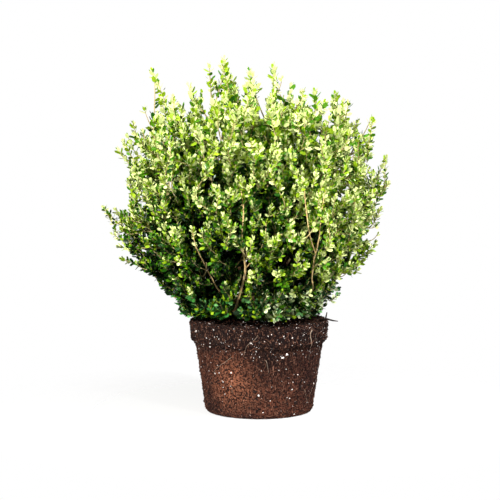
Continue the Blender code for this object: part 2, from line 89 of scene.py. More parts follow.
def ball_surface():
    """Points and faces of the root ball, row by row from the middle of the soil to the underside."""
    radii, heights = [0.0], [BALL_ROWS[0][1]]
    for before, (radius, height, steps) in zip(BALL_ROWS, BALL_ROWS[1:]):
        for share in np.linspace(0, 1, steps + 1)[1:]:
            radii.append(before[0] + (radius - before[0]) * share)
            heights.append(before[1] + (height - before[1]) * share)
    points = [Vector((0, 0, heights[0]))]
    for radius, height in zip(radii[1:-1], heights[1:-1]):
        for side in range(BALL_SIDES):
            turn = 2 * math.pi * side / BALL_SIDES
            points.append(Vector((radius * math.cos(turn), radius * math.sin(turn), height)))
    points.append(Vector((0, 0, 0)))
    faces = [(0, 1 + side, 1 + (side + 1) % BALL_SIDES) for side in range(BALL_SIDES)]
    rows = len(radii) - 2
    for row in range(rows - 1):
        high, low = 1 + row * BALL_SIDES, 1 + (row + 1) * BALL_SIDES
        for side in range(BALL_SIDES):
            following = (side + 1) % BALL_SIDES
            faces.append((high + side, low + side, low + following, high + following))
    last = 1 + (rows - 1) * BALL_SIDES
    foot = len(points) - 1
    faces += [(last + side, foot, last + (side + 1) % BALL_SIDES) for side in range(BALL_SIDES)]
    return points, faces


def new_object(name, data):
    made = bpy.data.objects.new(name, data)
    bpy.context.scene.collection.objects.link(made)
    return made


def new_piece(name, points, faces, finish=None):
    mesh = bpy.data.meshes.new(name)
    mesh.from_pydata([tuple(point) for point in points], [], faces)
    if finish:
        mesh.materials.append(finish)
    mesh.polygons.foreach_set("use_smooth", [True] * len(mesh.polygons))
    return new_object(name, mesh)


def roughened(points, faces):
    """The ball with its lumps, its crumbled edges and the pits between its grains."""
    plain = bpy.data.meshes.new("plain")
    plain.from_pydata([tuple(point) for point in points], [], faces)
    normals = [Vector(vertex.normal) for vertex in plain.vertices]
    bpy.data.meshes.remove(plain)
    moved = []
    for point, normal in zip(points, normals):
        flatness = 1.0
        if point.z < FLAT_FOOT[0]:
            flatness = FLAT_FOOT[1] if point.z > 0.0001 else 0.0
        rise = sum(noise.noise(point / size) * height for size, height in BALL_RELIEF)
        ring = math.hypot(point.x, point.y)
        wear = max([1 - abs(point.z - height) / reach for height, reach, least in BAND_EDGES if ring > least] + [0.0])
        if wear > 0:
            torn = noise.noise(Vector((point.x, point.y, point.z * 2)) / CRUMBLED_PLACE) + 0.15
            rise -= max(0.0, torn) * wear * BALL_CRUMBLING
        moved.append(point + normal * rise * flatness)
    return moved


def feed(tree, socket, value):
    """Links a socket to another one, or gives it a plain value."""
    if isinstance(value, bpy.types.NodeSocket):
        tree.links.new(value, socket)
    else:
        socket.default_value = value


def node(tree, kind, settings=None, **inputs):
    """A new node. Its settings are its own properties, and inputs are socket names, blanks as underlines."""
    made = tree.nodes.new(kind)
    for key, value in (settings or {}).items():
        setattr(made, key, value)
    for key, value in inputs.items():
        feed(tree, made.inputs[key.replace("_", " ")], value)
    return made


def reckoned(tree, operation, *values):
    """What a Math node makes of sockets and numbers."""
    made = node(tree, "ShaderNodeMath", {"operation": operation})
    for socket, value in zip(made.inputs, values):
        feed(tree, socket, value)
    return made.outputs[0]


def mottle(tree, place, scale, detail, roughness=0.5):
    """Noise over a surface."""
    made = node(tree, "ShaderNodeTexNoise", Vector=place, Scale=scale, Detail=detail, Roughness=roughness)
    return made.outputs["Fac"]


def mixed(tree, share, first, second):
    """The colour between two others. Each may be a colour or a socket."""
    mix = node(tree, "ShaderNodeMix", {"data_type": "RGBA"})
    for socket, value in zip((mix.inputs["Factor"], mix.inputs[6], mix.inputs[7]), (share, first, second)):
        feed(tree, socket, (*value, 1) if isinstance(value, tuple) else value)
    return mix.outputs[2]


def ranged(tree, value, low, high, out_low=0.0, out_high=1.0):
    """A value brought from low..high to out_low..out_high, and kept there."""
    return node(tree, "ShaderNodeMapRange", {"interpolation_type": "SMOOTHSTEP"}, Value=value, From_Min=low,
                From_Max=high, To_Min=out_low, To_Max=out_high).outputs[0]


def around(tree, place, centre, size):
    """A mask that is 1 at a place and fades out over a size given for each direction."""
    moved = node(tree, "ShaderNodeMapping", {"vector_type": "TEXTURE"}, Vector=place, Location=centre, Scale=size)
    fade = node(tree, "ShaderNodeTexGradient", {"gradient_type": "SPHERICAL"}, Vector=moved.outputs[0])
    return fade.outputs["Fac"]


def new_material(name, colour, roughness, **inputs):
    """A plain Principled material, with its tree, its shader and the place on the piece to go on with."""
    made = bpy.data.materials.new(name)
    made.use_nodes = True
    tree = made.node_tree
    shader = tree.nodes["Principled BSDF"]
    for key, value in {"Base_Color": (*colour, 1), "Roughness": roughness, **inputs}.items():
        feed(tree, shader.inputs[key.replace("_", " ")], value)
    return made, tree, shader, node(tree, "ShaderNodeTexCoord").outputs["Object"]


def add_relief(tree, shader, height, strength, distance):
    bump = node(tree, "ShaderNodeBump", Strength=strength, Distance=distance, Height=height)
    feed(tree, shader.inputs["Normal"], bump.outputs[0])


def matted_soil():
    made, tree, shader, place = new_material("matted soil", UMBER, 0.95, Specular_IOR_Level=0.12)
    drifts = mottle(tree, place, 14.0, 4.0, 0.6)
    clods = mottle(tree, place, 300.0, 5.0, 0.75)
    slant = node(tree, "ShaderNodeMapping", Vector=place, Rotation=(math.radians(35), math.radians(-40), 0),
                 Scale=(1, 1, 0.25))
    fibres = mottle(tree, slant.outputs[0], 400.0, 3.0)
    flecks = mottle(tree, place, 760.0, 2.0)

    colour = mixed(tree, ranged(tree, drifts, 0.36, 0.62), UMBER, RUST)
    for centre, size, patch in SOIL_PATCHES:
        colour = mixed(tree, around(tree, place, centre, size), colour, patch)
    # The ball is darker towards the top, over the band, from about 0.12 to 0.14 m up with a ragged edge.
    height = node(tree, "ShaderNodeSeparateXYZ", Vector=place).outputs["Z"]
    height = reckoned(tree, "ADD", height, ranged(tree, drifts, 0.3, 0.7, -0.022, 0.022))
    colour = mixed(tree, ranged(tree, height, 0.118, 0.144), colour, DARK_BAND)
    colour = mixed(tree, ranged(tree, fibres, 0.54, 0.66, 0.0, 0.60), colour, FIBRE)
    colour = mixed(tree, ranged(tree, flecks, 0.62, 0.74, 0.0, 0.55), colour, FLECK)
    colour = mixed(tree, ranged(tree, clods, 0.465, 0.535, 1.0, 0.0), colour, PEAT)
    feed(tree, shader.inputs["Base Color"], colour)
    add_relief(tree, shader, reckoned(tree, "MULTIPLY", clods, fibres), 1.0, 0.0030)
    return made


ball_points, ball_faces = ball_surface()
ball = new_piece("root_mat", roughened(ball_points, ball_faces), ball_faces, matted_soil())
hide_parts("root_ball")
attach(ball, "root")


# What is in the mix: crumbs of bark that stand out of the root ball's surface, strands of coir that lie matted
# over it, and the white perlite that growers add. All are half sunk in.
GRAINS = (  # name, shape, colour, how many to a square metre, lowest, smallest and largest, width, flatness
    ("dark_crumbs", "crumb", (0.008, 0.003, 0.002), 15000, 0.004, 0.0018, 0.0080, 0.65, 0.60),
    ("bark_crumbs", "crumb", (0.070, 0.024, 0.014), 11000, 0.004, 0.0016, 0.0065, 0.50, 0.55),
    ("coir_strands", "strand", (0.125, 0.052, 0.031), 10000, 0.004, 0.0050, 0.0150, 0.90, 0.85),
    ("perlite", "bead", (0.80, 0.75, 0.71), 5000, 0.118, 0.0009, 0.0036, 0.75, 0.70),
    ("low_perlite", "bead", (0.80, 0.75, 0.71), 1600, 0.006, 0.0010, 0.0042, 0.75, 0.70),
)


def new_group(kind, name, inputs, outputs):
    """An empty node tree with named inputs and outputs, and its sockets for both."""
    tree = bpy.data.node_groups.new(name, kind)
    for way, sockets in (("OUTPUT", outputs), ("INPUT", inputs)):
        for key, socket_kind in sockets.items():
            tree.interface.new_socket(key.replace("_", " "), in_out=way, socket_type="NodeSocket" + socket_kind)
    return tree, tree.nodes.new("NodeGroupInput").outputs, tree.nodes.new("NodeGroupOutput").inputs


def new_grower(name, **inputs):
    """A geometry tree that takes a source, a finish and the inputs named."""
    inputs = {"Geometry": "Geometry", "Finish": "Material", **inputs}
    return new_group("GeometryNodeTree", name, inputs, {"Geometry": "Geometry"})


def end_grower(tree, given, result, geometry):
    """Ends a geometry tree in plain faces that wear their finish."""
    real = node(tree, "GeometryNodeRealizeInstances", Geometry=geometry)
    finished = node(tree, "GeometryNodeSetMaterial", Geometry=real.outputs[0], Material=given["Finish"])
    feed(tree, result["Geometry"], finished.outputs[0])


def scatter_tree():
    """Geometry nodes that strew grains over a surface, sunk in and turned at random, with few large ones."""
    numbers = {key: "Float" for key in ("Density", "Lowest", "Smallest", "Largest", "Width", "Flatness")}
    tree, given, result = new_grower("strewn grains", Grain="Object", Seed="Int", **numbers)
    height = node(tree, "ShaderNodeSeparateXYZ", Vector=node(tree, "GeometryNodeInputPosition").outputs[0])
    above = node(tree, "FunctionNodeCompare", {"data_type": "FLOAT", "operation": "GREATER_THAN"})
    feed(tree, above.inputs[0], height.outputs["Z"])
    feed(tree, above.inputs[1], given["Lowest"])
    strewn = node(tree, "GeometryNodeDistributePointsOnFaces", Mesh=given["Geometry"], Selection=above.outputs[0],
                  Density=given["Density"], Seed=given["Seed"])
    spin = node(tree, "FunctionNodeRandomValue", {"data_type": "FLOAT_VECTOR"}, Seed=given["Seed"])
    spin.inputs[0].default_value = (-0.35, -0.35, -math.pi)
    spin.inputs[1].default_value = (0.35, 0.35, math.pi)
    turned = node(tree, "FunctionNodeRotateRotation", {"rotation_space": "LOCAL"},
                  Rotation=strewn.outputs["Rotation"], Rotate_By=spin.outputs[0])

    draw = node(tree, "FunctionNodeRandomValue", {"data_type": "FLOAT"}, Seed=given["Seed"])
    size = node(tree, "ShaderNodeMapRange", Value=reckoned(tree, "POWER", draw.outputs[1], 3),
                To_Min=given["Smallest"], To_Max=given["Largest"]).outputs[0]
    shape = node(tree, "ShaderNodeCombineXYZ", X=size, Y=reckoned(tree, "MULTIPLY", size, given["Width"]),
                 Z=reckoned(tree, "MULTIPLY", size, given["Flatness"]))
    grain = node(tree, "GeometryNodeObjectInfo", Object=given["Grain"])
    placed = node(tree, "GeometryNodeInstanceOnPoints", Points=strewn.outputs["Points"],
                  Instance=grain.outputs["Geometry"], Rotation=turned.outputs[0], Scale=shape.outputs[0])
    end_grower(tree, given, result, placed.outputs[0])
    return tree


def grown(name, source, tree, **settings):
    """The plain mesh that a node tree makes of a source mesh. Settings name the tree's inputs."""
    carrier = new_object(name, source)
    modifier = carrier.modifiers.new(tree.name, "NODES")
    modifier.node_group = tree
    for item in tree.interface.items_tree:
        if item.in_out == "INPUT" and item.name.replace(" ", "_") in settings:
            modifier[item.identifier] = settings[item.name.replace(" ", "_")]
    bpy.context.view_layer.update()
    mesh = bpy.data.meshes.new_from_object(carrier.evaluated_get(bpy.context.evaluated_depsgraph_get()))
    carrier.modifiers.clear()
    carrier.data = mesh
    return carrier


def tube(path, radii, sides):
    """Points and faces of a closed round tube along a path."""
    path = [Vector(point) for point in path]
    aheads = [(after - before).normalized() for before, after in zip([path[0], *path], [*path[1:], path[-1]])]
    across = aheads[0].orthogonal().normalized()
    points, faces = [], []
    for centre, radius, ahead in zip(path, radii, aheads):
        across = (across - ahead * across.dot(ahead)).normalized()
        other = ahead.cross(across)
        for side in range(sides):
            turn = 2 * math.pi * side / sides
            points.append(centre + (across * math.cos(turn) + other * math.sin(turn)) * radius)
    for step in range(len(path) - 1):
        low, high = step * sides, (step + 1) * sides
        for side in range(sides):
            following = (side + 1) % sides
            faces.append((low + side, low + following, high + following, high + side))
    faces.append(tuple(reversed(range(sides))))
    faces.append(tuple(range(len(points) - sides, len(points))))
    return points, faces


def grain_shape(kind):
    """One grain, one across: an angular crumb, a rounder bead, or a strand bent over on itself."""
    work = bmesh.new()
    chance = random.Random(kind)
    if kind == "strand":
        turns = [math.radians(angle) for angle in (-55, -25, 5, 30, 62)]
        path = [(math.sin(turn) * 0.55, math.cos(turn) * 0.30 - 0.2, math.cos(turn) * 0.10 - 0.05) for turn in turns]
        points, faces = tube(path, [0.018, 0.034, 0.038, 0.034, 0.016], 3)
        corners = [work.verts.new(point) for point in points]
        for face in faces:
            work.faces.new([corners[corner] for corner in face])
    else:
        if kind == "bead":
            bmesh.ops.create_icosphere(work, subdivisions=1, radius=0.5)
        else:
            bmesh.ops.create_uvsphere(work, u_segments=4, v_segments=2, radius=0.5)
        for vertex in work.verts:
            vertex.co *= 1 + chance.uniform(-1, 1) * 0.40
    bmesh.ops.triangulate(work, faces=work.faces[:])
    bmesh.ops.recalc_face_normals(work, faces=work.faces[:])
    mesh = bpy.data.meshes.new(kind)
    work.to_mesh(mesh)
    work.free()
    return new_object(kind, mesh)


def fine_pits():
    """The shader group of small pits that all the loose bits in the soil share."""
    tree, given, result = new_group("ShaderNodeTree", "fine pits", {"Place": "Vector", "Scale": "Float"},
                                    {"Height": "Float"})
    feed(tree, result["Height"], mottle(tree, given["Place"], given["Scale"], 2.0))
    return tree


pits = fine_pits()


def grain_material(name, colour):
    made, tree, shader, place = new_material(name, colour, 0.9, Specular_IOR_Level=0.2)
    pitted = node(tree, "ShaderNodeGroup", {"node_tree": pits}, Place=place, Scale=1600.0)
    add_relief(tree, shader, pitted.outputs["Height"], 0.5, 0.0004)
    return made


strewn_grains = scatter_tree()
shapes = {kind: grain_shape(kind) for kind in ("crumb", "strand", "bead")}
for number, (name, kind, colour, density, lowest, smallest, largest, width, flatness) in enumerate(GRAINS):
    grains = grown(name, ball.data, strewn_grains, Grain=shapes[kind], Finish=grain_material(name, colour),
                   Density=float(density), Lowest=lowest, Smallest=smallest, Largest=largest, Width=width,
                   Flatness=flatness, Seed=number + 3)
    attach(grains, "root")
for shape in shapes.values():
    bpy.data.objects.remove(shape)


# The largest perlite: single white lumps that stand half out of the ball's side and of its band.
PERLITE_LUMPS = (  # azimuth in degrees, height and size in millimetres
    (-97, 155, 4.0), (-65, 130, 5.6), (-69, 124, 4.0), (-130, 177, 3.6), (-125, 160, 3.2), (-131, 90, 3.4),
    (-117, 93, 3.2), (-72, 100, 3.4), (-51, 87, 3.6), (-91, 50, 4.6), (25, 165, 4.4), (58, 120, 4.0), (96, 152, 3.8),
    (131, 74, 4.6), (168, 140, 3.6), (205, 168, 4.0), (-20, 60, 4.0), (80, 40, 4.2),
)


def ball_radius_at(height):
    rows = sorted((row_height, radius) for radius, row_height, _ in BALL_ROWS[3:11])
    return np.interp(height, [row_height for row_height, _ in rows], [radius for _, radius in rows])


lumps = bmesh.new()
for azimuth, height, across in PERLITE_LUMPS:
    turn, up = math.radians(azimuth), height / 1000
    middle = Vector((math.cos(turn), math.sin(turn), 0)) * (ball_radius_at(up) - across / 5000) + Vector((0, 0, up))
    ball_of = bmesh.ops.create_icosphere(lumps, subdivisions=3, radius=across / 2000)
    for vertex in ball_of["verts"]:
        bulge = noise.noise((vertex.co + middle) / (across / 1500)) * 1.1
        bulge += noise.noise((vertex.co + middle) / 0.0011) * 0.35
        vertex.co = Vector((vertex.co.x, vertex.co.y, vertex.co.z * 0.75)) * (1 + bulge) + middle
lump_mesh = bpy.data.meshes.new("perlite_lumps")
lumps.to_mesh(lump_mesh)
lumps.free()
lump_mesh.polygons.foreach_set("use_smooth", [True] * len(lump_mesh.polygons))
lump_mesh.materials.append(grain_material("large perlite", (0.78, 0.72, 0.68)))
perlite_lumps = new_object("perlite_lumps", lump_mesh)
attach(perlite_lumps, "root")


# Roots that show: thin pale feeder roots creep over the ball's side under the band's edge, and one short woody
# root sticks out over the rim.
ROOT_COLOUR = (0.36, 0.27, 0.20)
ROOT_COUNT = 18
ROOT_STEP = 0.004


def creeping_root(chance, turn, height, heading, steps):
    """A root's path over the ball's side. It wanders, but keeps close to the surface."""
    path = []
    for _ in range(steps):
        ring = ball_radius_at(height) + 0.0006 + chance.uniform(-0.0005, 0.0007)
        path.append((ring * math.cos(turn), ring * math.sin(turn), height))
        heading += chance.uniform(-0.35, 0.35)
        turn += ROOT_STEP * math.cos(heading) / ring
        height = min(max(height + ROOT_STEP * math.sin(heading), 0.012), 0.180)
    return path


root_chance = random.Random(12)
root_shapes = []
for _ in range(ROOT_COUNT):
    steps = root_chance.randint(5, 16)
    path = creeping_root(root_chance, root_chance.uniform(0, 2 * math.pi), root_chance.uniform(0.05, 0.178),
                         root_chance.uniform(-2.4, -0.7), steps)
    thickness = root_chance.uniform(0.00025, 0.00050)
    root_shapes.append(tube(path, np.linspace(thickness, thickness * 0.4, steps), 4))
path = creeping_root(root_chance, math.radians(-42), 0.178, -2.3, 15)
root_shapes.append(tube(path, np.linspace(0.0007, 0.0003, 15), 5))


def joined(shapes):
    points, faces = [], []
    for more_points, more_faces in shapes:
        start = len(points)
        points.extend(more_points)
        faces.extend(tuple(start + corner for corner in face) for face in more_faces)
    return points, faces


roots = new_piece("feeder_roots", *joined(root_shapes), grain_material("pale root", ROOT_COLOUR))
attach(roots, "root")
woody_root = [(0.120, -0.040, 0.186), (0.134, -0.043, 0.190), (0.146, -0.046, 0.187), (0.156, -0.048, 0.186)]
root_stub = [(0.131, -0.042, 0.188), (0.133, -0.041, 0.196), (0.1345, -0.040, 0.203)]
stub = new_piece("woody_root", *joined([tube(woody_root, (0.0022, 0.0020, 0.0015, 0.0007), 8),
                                        tube(root_stub, (0.0016, 0.0014, 0.0009), 8)]),
                 grain_material("dark root bark", (0.020, 0.012, 0.009)))
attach(stub, "root")


# The trunk and the boughs: one short stem, flared at the soil, that forks a few centimetres up into boughs
# which fan out like a vase and bend upwards. Young boxwood bark is tan and runs in fine lengthwise ridges.
FOOT = np.array((-0.020, -0.004, BALL_HEIGHT + SOIL_RISE))
OUTLINE_LEANS = np.radians((0, 12, 22, 32, 42, 52, 60, 66, 74, 90))
OUTLINE_REACHES = np.array((0.478, 0.478, 0.472, 0.452, 0.404, 0.345, 0.298, 0.250, 0.174, 0.140))
CROWN_REACH = 0.50
BEND = 0.34
INNER_REACH = 0.070
TRUNK_HEIGHT = 0.058
TRUNK_LEAN = math.radians(5)
TRUNK_TOP_RADIUS = 0.0088
TRUNK_TAPER = 0.25
TRUNK_FLARE = 0.0085
FLARE_HEIGHT = 0.010
RINGS = (  # name, boughs, lean, first azimuth, fork's height and offset, radius at base and tip, bare reach
    ("leader", 3, math.radians(9), math.radians(190), 0.0545, 0.0046, 0.0040, 0.0026, 0.150),
    ("middle", 6, math.radians(26), math.radians(17), 0.0415, 0.0, 0.0036, 0.0024, 0.135),
    ("outer", 8, math.radians(46), math.radians(11), 0.0265, 0.0, 0.0031, 0.0022, 0.095),
    ("skirt", 7, math.radians(68), math.radians(24), 0.0105, 0.0, 0.0020, 0.0020, 0.0),
)
RING_JITTER = math.radians(3)
LIMB_SPRING = 0.35
LIMB_OUTWARDS = 0.08
FIRST_FORK = 0.012
TRUNK_SIDES = 28
BOUGH_SIDES = 14
SUNK_IN_SOIL = 0.002
FORK_SWELL = 0.35  # how much thicker a bough is where it leaves the trunk
WOOD_GRAIN = 0.0009  # size of the mesh's cells before its relief
BARK_RIDGES = 0.00035  # height of the ridges, and of the lumps under them
BARK_RIDGE_SIZE = 0.0016
BARK_LUMP_SIZE = 0.007
BARK_STRETCH = 0.18  # of the height, which draws the ridges out lengthwise
GREY_PATCH = (0.33, 0.30, 0.24)
SEED = 11


def unit_at(azimuth, lean):
    flat = math.sin(lean)
    return np.array((flat * math.cos(azimuth), flat * math.sin(azimuth), math.cos(lean)))


def outline_reach(lean):
    """How far the crown reaches from the foot of the trunk at a lean from upright."""
    return np.interp(lean, OUTLINE_LEANS, OUTLINE_REACHES)


def polar(points):
    """Distance from the foot of the trunk, lean from upright, and azimuth."""
    distance = np.maximum(np.linalg.norm(points, axis=-1), 1e-6)
    lean = np.arccos(np.clip(points[..., 2] / distance, -1, 1))
    return distance, lean, np.arctan2(points[..., 1], points[..., 0])


def from_polar(distance, lean, azimuth):
    flat = distance * np.sin(lean)
    return np.stack((flat * np.cos(azimuth), flat * np.sin(azimuth), distance * np.cos(lean)), axis=-1)


def bend_at(distance):
    return BEND * np.clip(1 - distance / CROWN_REACH, 0, 1)


def bent(points):
    """Where the crown's bend puts points of the straight crown, in which boughs are rays."""
    distance, lean, azimuth = polar(np.asarray(points))
    return from_polar(distance, lean + bend_at(distance) * np.sin(2 * lean), azimuth)


def straightened(points):
    distance, lean, azimuth = polar(np.asarray(points))
    straight = lean
    for _ in range(30):
        straight = lean - bend_at(distance) * np.sin(2 * straight)
    return from_polar(distance, straight, azimuth)


def normal_of(vector):
    return vector / np.linalg.norm(vector)


def trunk_point(height):
    return np.array((height * math.tan(TRUNK_LEAN), 0, height))


def trunk_radius(height):
    taper = 1 + TRUNK_TAPER * (1 - height / TRUNK_HEIGHT)
    return TRUNK_TOP_RADIUS * taper + TRUNK_FLARE * math.exp(-height / FLARE_HEIGHT)


def spring_curve(start, heading, end, end_heading, length, springs, steps):
    """Points of a curve that sets out in one heading and arrives in another, like a bent spring."""
    first, second = start + heading * length * springs[0], end - end_heading * length * springs[1]
    share = np.linspace(0, 1, steps + 1)[:, None]
    return ((1 - share) ** 3 * start + 3 * share * (1 - share) ** 2 * first
            + 3 * share**2 * (1 - share) * second + share**3 * end)


class Limb:
    """One bough and the direction of the mass of foliage that it carries."""

    def __init__(self, ring, number, chance):
        self.ring, count, ring_lean, first_azimuth, height, offset, self.base, self.tip, self.bare = ring
        azimuth = first_azimuth + 2 * math.pi * number / count + chance.uniform(-1, 1) * RING_JITTER
        lean = ring_lean + chance.uniform(-1, 1) * RING_JITTER / 2
        self.name = f"{self.ring}_{number + 1}"
        self.unit = unit_at(azimuth, lean)
        self.end, beyond = bent([self.unit * self.bare, self.unit * (self.bare + FIRST_FORK)])
        self.end_heading = normal_of(beyond - self.end)
        outwards = np.array((math.cos(azimuth), math.sin(azimuth), 0))
        self.fork = trunk_point(height) + outwards * offset
        aim = self.end if self.bare else bent(self.unit * INNER_REACH)
        self.heading = normal_of(normal_of(aim - self.fork) + outwards * LIMB_OUTWARDS)

    def path(self, steps=24):
        length = np.linalg.norm(self.end - self.fork)
        springs = (LIMB_SPRING, LIMB_SPRING)
        return spring_curve(self.fork, self.heading, self.end, self.end_heading, length, springs, steps)


def bark_ridges():
    """The shader group of fine lengthwise ridges and grey patches that all the bark shares."""
    tree, given, result = new_group("ShaderNodeTree", "bark ridges",
                                    {"Place": "Vector", "Ridge": "Color", "Groove": "Color"},
                                    {"Colour": "Color", "Height": "Float"})
    along = node(tree, "ShaderNodeMapping", Vector=given["Place"], Scale=(1, 1, 0.22))
    ridges = mottle(tree, along.outputs[0], 900.0, 4.0)
    patches = mottle(tree, given["Place"], 120.0, 3.0)
    shade = mixed(tree, ranged(tree, ridges, 0.35, 0.62), given["Groove"], given["Ridge"])
    shade = mixed(tree, ranged(tree, patches, 0.55, 0.72, 0.0, 0.6), shade, GREY_PATCH)
    feed(tree, result["Colour"], shade)
    feed(tree, result["Height"], ridges)
    return tree


ridges = bark_ridges()


def bark(name, ridge, groove):
    made, tree, shader, place = new_material(name, ridge, 0.82, Specular_IOR_Level=0.3)
    ridged = node(tree, "ShaderNodeGroup", {"node_tree": ridges}, Place=place, Ridge=(*ridge, 1), Groove=(*groove, 1))
    feed(tree, shader.inputs["Base Color"], ridged.outputs["Colour"])
    add_relief(tree, shader, ridged.outputs["Height"], 0.7, 0.0006)
    return made


chance = random.Random(SEED)
limbs = [Limb(ring, number, chance) for ring in RINGS for number in range(ring[1])]
boughs = [limb for limb in limbs if limb.bare]

trunk_heights = np.linspace(0, TRUNK_HEIGHT, 30)
wood_shapes = [tube([FOOT + trunk_point(height) - (0, 0, SUNK_IN_SOIL) for height in trunk_heights],
                    [trunk_radius(height) for height in trunk_heights], TRUNK_SIDES)]
for limb in boughs:
    path = limb.path()
    swell = 1 + FORK_SWELL * np.exp(-np.arange(len(path)) / 3)
    wood_shapes.append(tube(path + FOOT, np.linspace(limb.base, limb.tip, len(path)) * swell, BOUGH_SIDES))
wood = new_piece("bark", *joined(wood_shapes))
skin = wood.modifiers.new("skin", "REMESH")
skin.mode = "VOXEL"
skin.voxel_size = WOOD_GRAIN
skin.use_smooth_shade = True
wood_mesh = bpy.data.meshes.new_from_object(wood.evaluated_get(bpy.context.evaluated_depsgraph_get()))
wood.modifiers.clear()
wood.data = wood_mesh
for vertex, normal in zip(wood_mesh.vertices, [Vector(normal.vector) for normal in wood_mesh.vertex_normals]):
    stretched = Vector((vertex.co.x, vertex.co.y, vertex.co.z * BARK_STRETCH)) / BARK_RIDGE_SIZE
    swelling = noise.noise(vertex.co / BARK_LUMP_SIZE) * BARK_RIDGES
    vertex.co += normal * (noise.noise(stretched) * BARK_RIDGES + swelling)
wood_mesh.materials.clear()
wood_mesh.materials.append(bark("boxwood bark", (0.36, 0.200, 0.090), (0.13, 0.066, 0.032)))
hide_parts("trunk", *["bough_" + limb.name for limb in boughs])
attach(wood, "root")


# The twigs: from each bough's tip a stem runs on through its mass of foliage, and twigs leave it at an easy
# angle and bow outwards to the crown's edge. Shoots, in pairs, leave the twigs. Last year's wood is tan, and
# this year's growth is green.
LONG_SHOOTS = (
    (-72, 0.175), (-65, 0.290), (-59, 0.338), (-54, 0.376), (-47, 0.367), (-38, 0.432),
    (-30, 0.434), (-21.5, 0.535), (-15, 0.486), (-9, 0.514), (-5.5, 0.524), (0, 0.498),
    (5.5, 0.510), (10.5, 0.478), (16.5, 0.478), (21.5, 0.485), (25, 0.478), (31.5, 0.473),
    (40.5, 0.428), (46, 0.396), (51.5, 0.350), (61, 0.290), (73, 0.196),
)
LONG_SHOOT_SPREAD = 0.22
LOWEST_TIP_LEAN = math.radians(82)
TIP_COUNT = 92
DEALING_POWER = 0.7
TIP_JITTER = 0.1
TIP_REACHES = (0.86, 0.99)
INNER_TIP_REACHES = (0.50, 0.75)
INNER_TIP_EVERY = 4
FINE_TIP_COUNT = 1500
FINE_TIP_REACHES = (0.62, 1.00)
FINE_DEALING_POWER = 1.7  # more of the fine tips are dealt to the crown's top than to its foot
FINE_TWIG_LEAST = 0.045  # a fine twig leaves its parent at least this much nearer to the trunk's foot
FINE_TWIG_SPRINGS = (0.30, 0.45)
FINE_TWIG_RISE = 1.1
WAY_WEIGHT = 0.45  # how much the way down to the trunk counts when a fine twig looks for its parent
RIM_TIP_COUNT = 150
RIM_TIP_LEANS = np.radians((70, 84.5))
RIM_TIP_REACHES = (0.080, 0.158)
FORK_ANGLE = math.radians(34)
TIP_YIELDINGS = (0, 0.2, 0.4, 0.6)
LAST_FORK = 0.94
TWIG_BOW = 0.09
STEM_REACH = 0.93
OUTLINE_SLACK = 1.13
SOIL_GAP = 0.004
LIMB_GAP = 0.0012
LEAF_LENGTH = 0.0114
TIP_PULLED_IN = 0.010  # a twig ends this far short of its tip, which its last leaves reach
TWIG_RADII = (0.0016, 0.0008)
FINE_TWIG_RADII = (0.0012, 0.0007)
SHOOT_RADII = (0.0009, 0.0005)
SHOOT_SPACING = 0.0165
SHOOT_CHANCE = 0.50
SHOOT_LENGTHS = (0.016, 0.042)
SHOOT_ANGLE = math.radians(30)
SHOOT_RISE = 1.1
SHOOT_TIP_REACHES = (0.82, 1.00)
LEAFY_SHARE = 0.78
SHADE_LEANS = np.radians((46, 60, 68, 76))  # below the crown's shoulder only a twig's end keeps its leaves
SHADE_LEAFY_SHARES = (LEAFY_SHARE, 0.58, 0.72, 0.88)
GOLDEN_ANGLE = math.pi * (3 - math.sqrt(5))
INNER_TIP_COUNT = 860
INNER_FILL_REACHES = (0.20, 0.66)
INNER_DEALING_POWER = 0.6
INNER_WOOD = 0.56  # share of the crown's reach inside which twigs are dark, as painted shade of the crown's inside
BOUGH_ROOM = 0.003  # half of a bough's thickness at most
FIRST_SHOOT = 0.012  # from a twig's tip to its first pair of shoots
SHOOT_OVERLAP = 0.012  # how far a shoot may lean into its neighbour's room
FRONT_STEMS = (  # the stems that show in front: radii at both ends, and points in millimetres from the trunk's foot
    (0.0030, 0.0010, (-31, -85, 17), (-19, -120, 54), (-7, -165, 108), (-10, -190, 142), (-13, -205, 177),
     (-10, -218, 223), (-14, -222, 262)),
    (0.0013, 0.0007, (-6, -170, 114), (8, -180, 130), (22, -192, 152), (30, -205, 177), (32, -216, 206)),
    (0.0016, 0.0008, (-52, -125, 61), (-71, -150, 93), (-85, -175, 124), (-99, -192, 157), (-106, -202, 190)),
    (0.0021, 0.0009, (120, -110, 63), (120, -135, 91), (123, -165, 128), (131, -190, 172), (135, -202, 222),
     (142, -205, 262)),
    (0.0014, 0.0008, (124, -178, 145), (114, -192, 176), (107, -206, 220), (104, -212, 245), (100, -218, 282)),
)
SHOWN_STEPS = slice(8, 26)  # the steps of a front stem that no leaf may hide
THICK_STEM = 0.00135  # front stems thinner than this may be hidden
EYE_DISTANCE = 3.0
EYE_HEIGHT = 0.132  # of the middle of the view, over the trunk's foot
SIGHT_RISE = math.tan(math.radians(5.2))  # how much higher a place looks for each metre that it lies further back
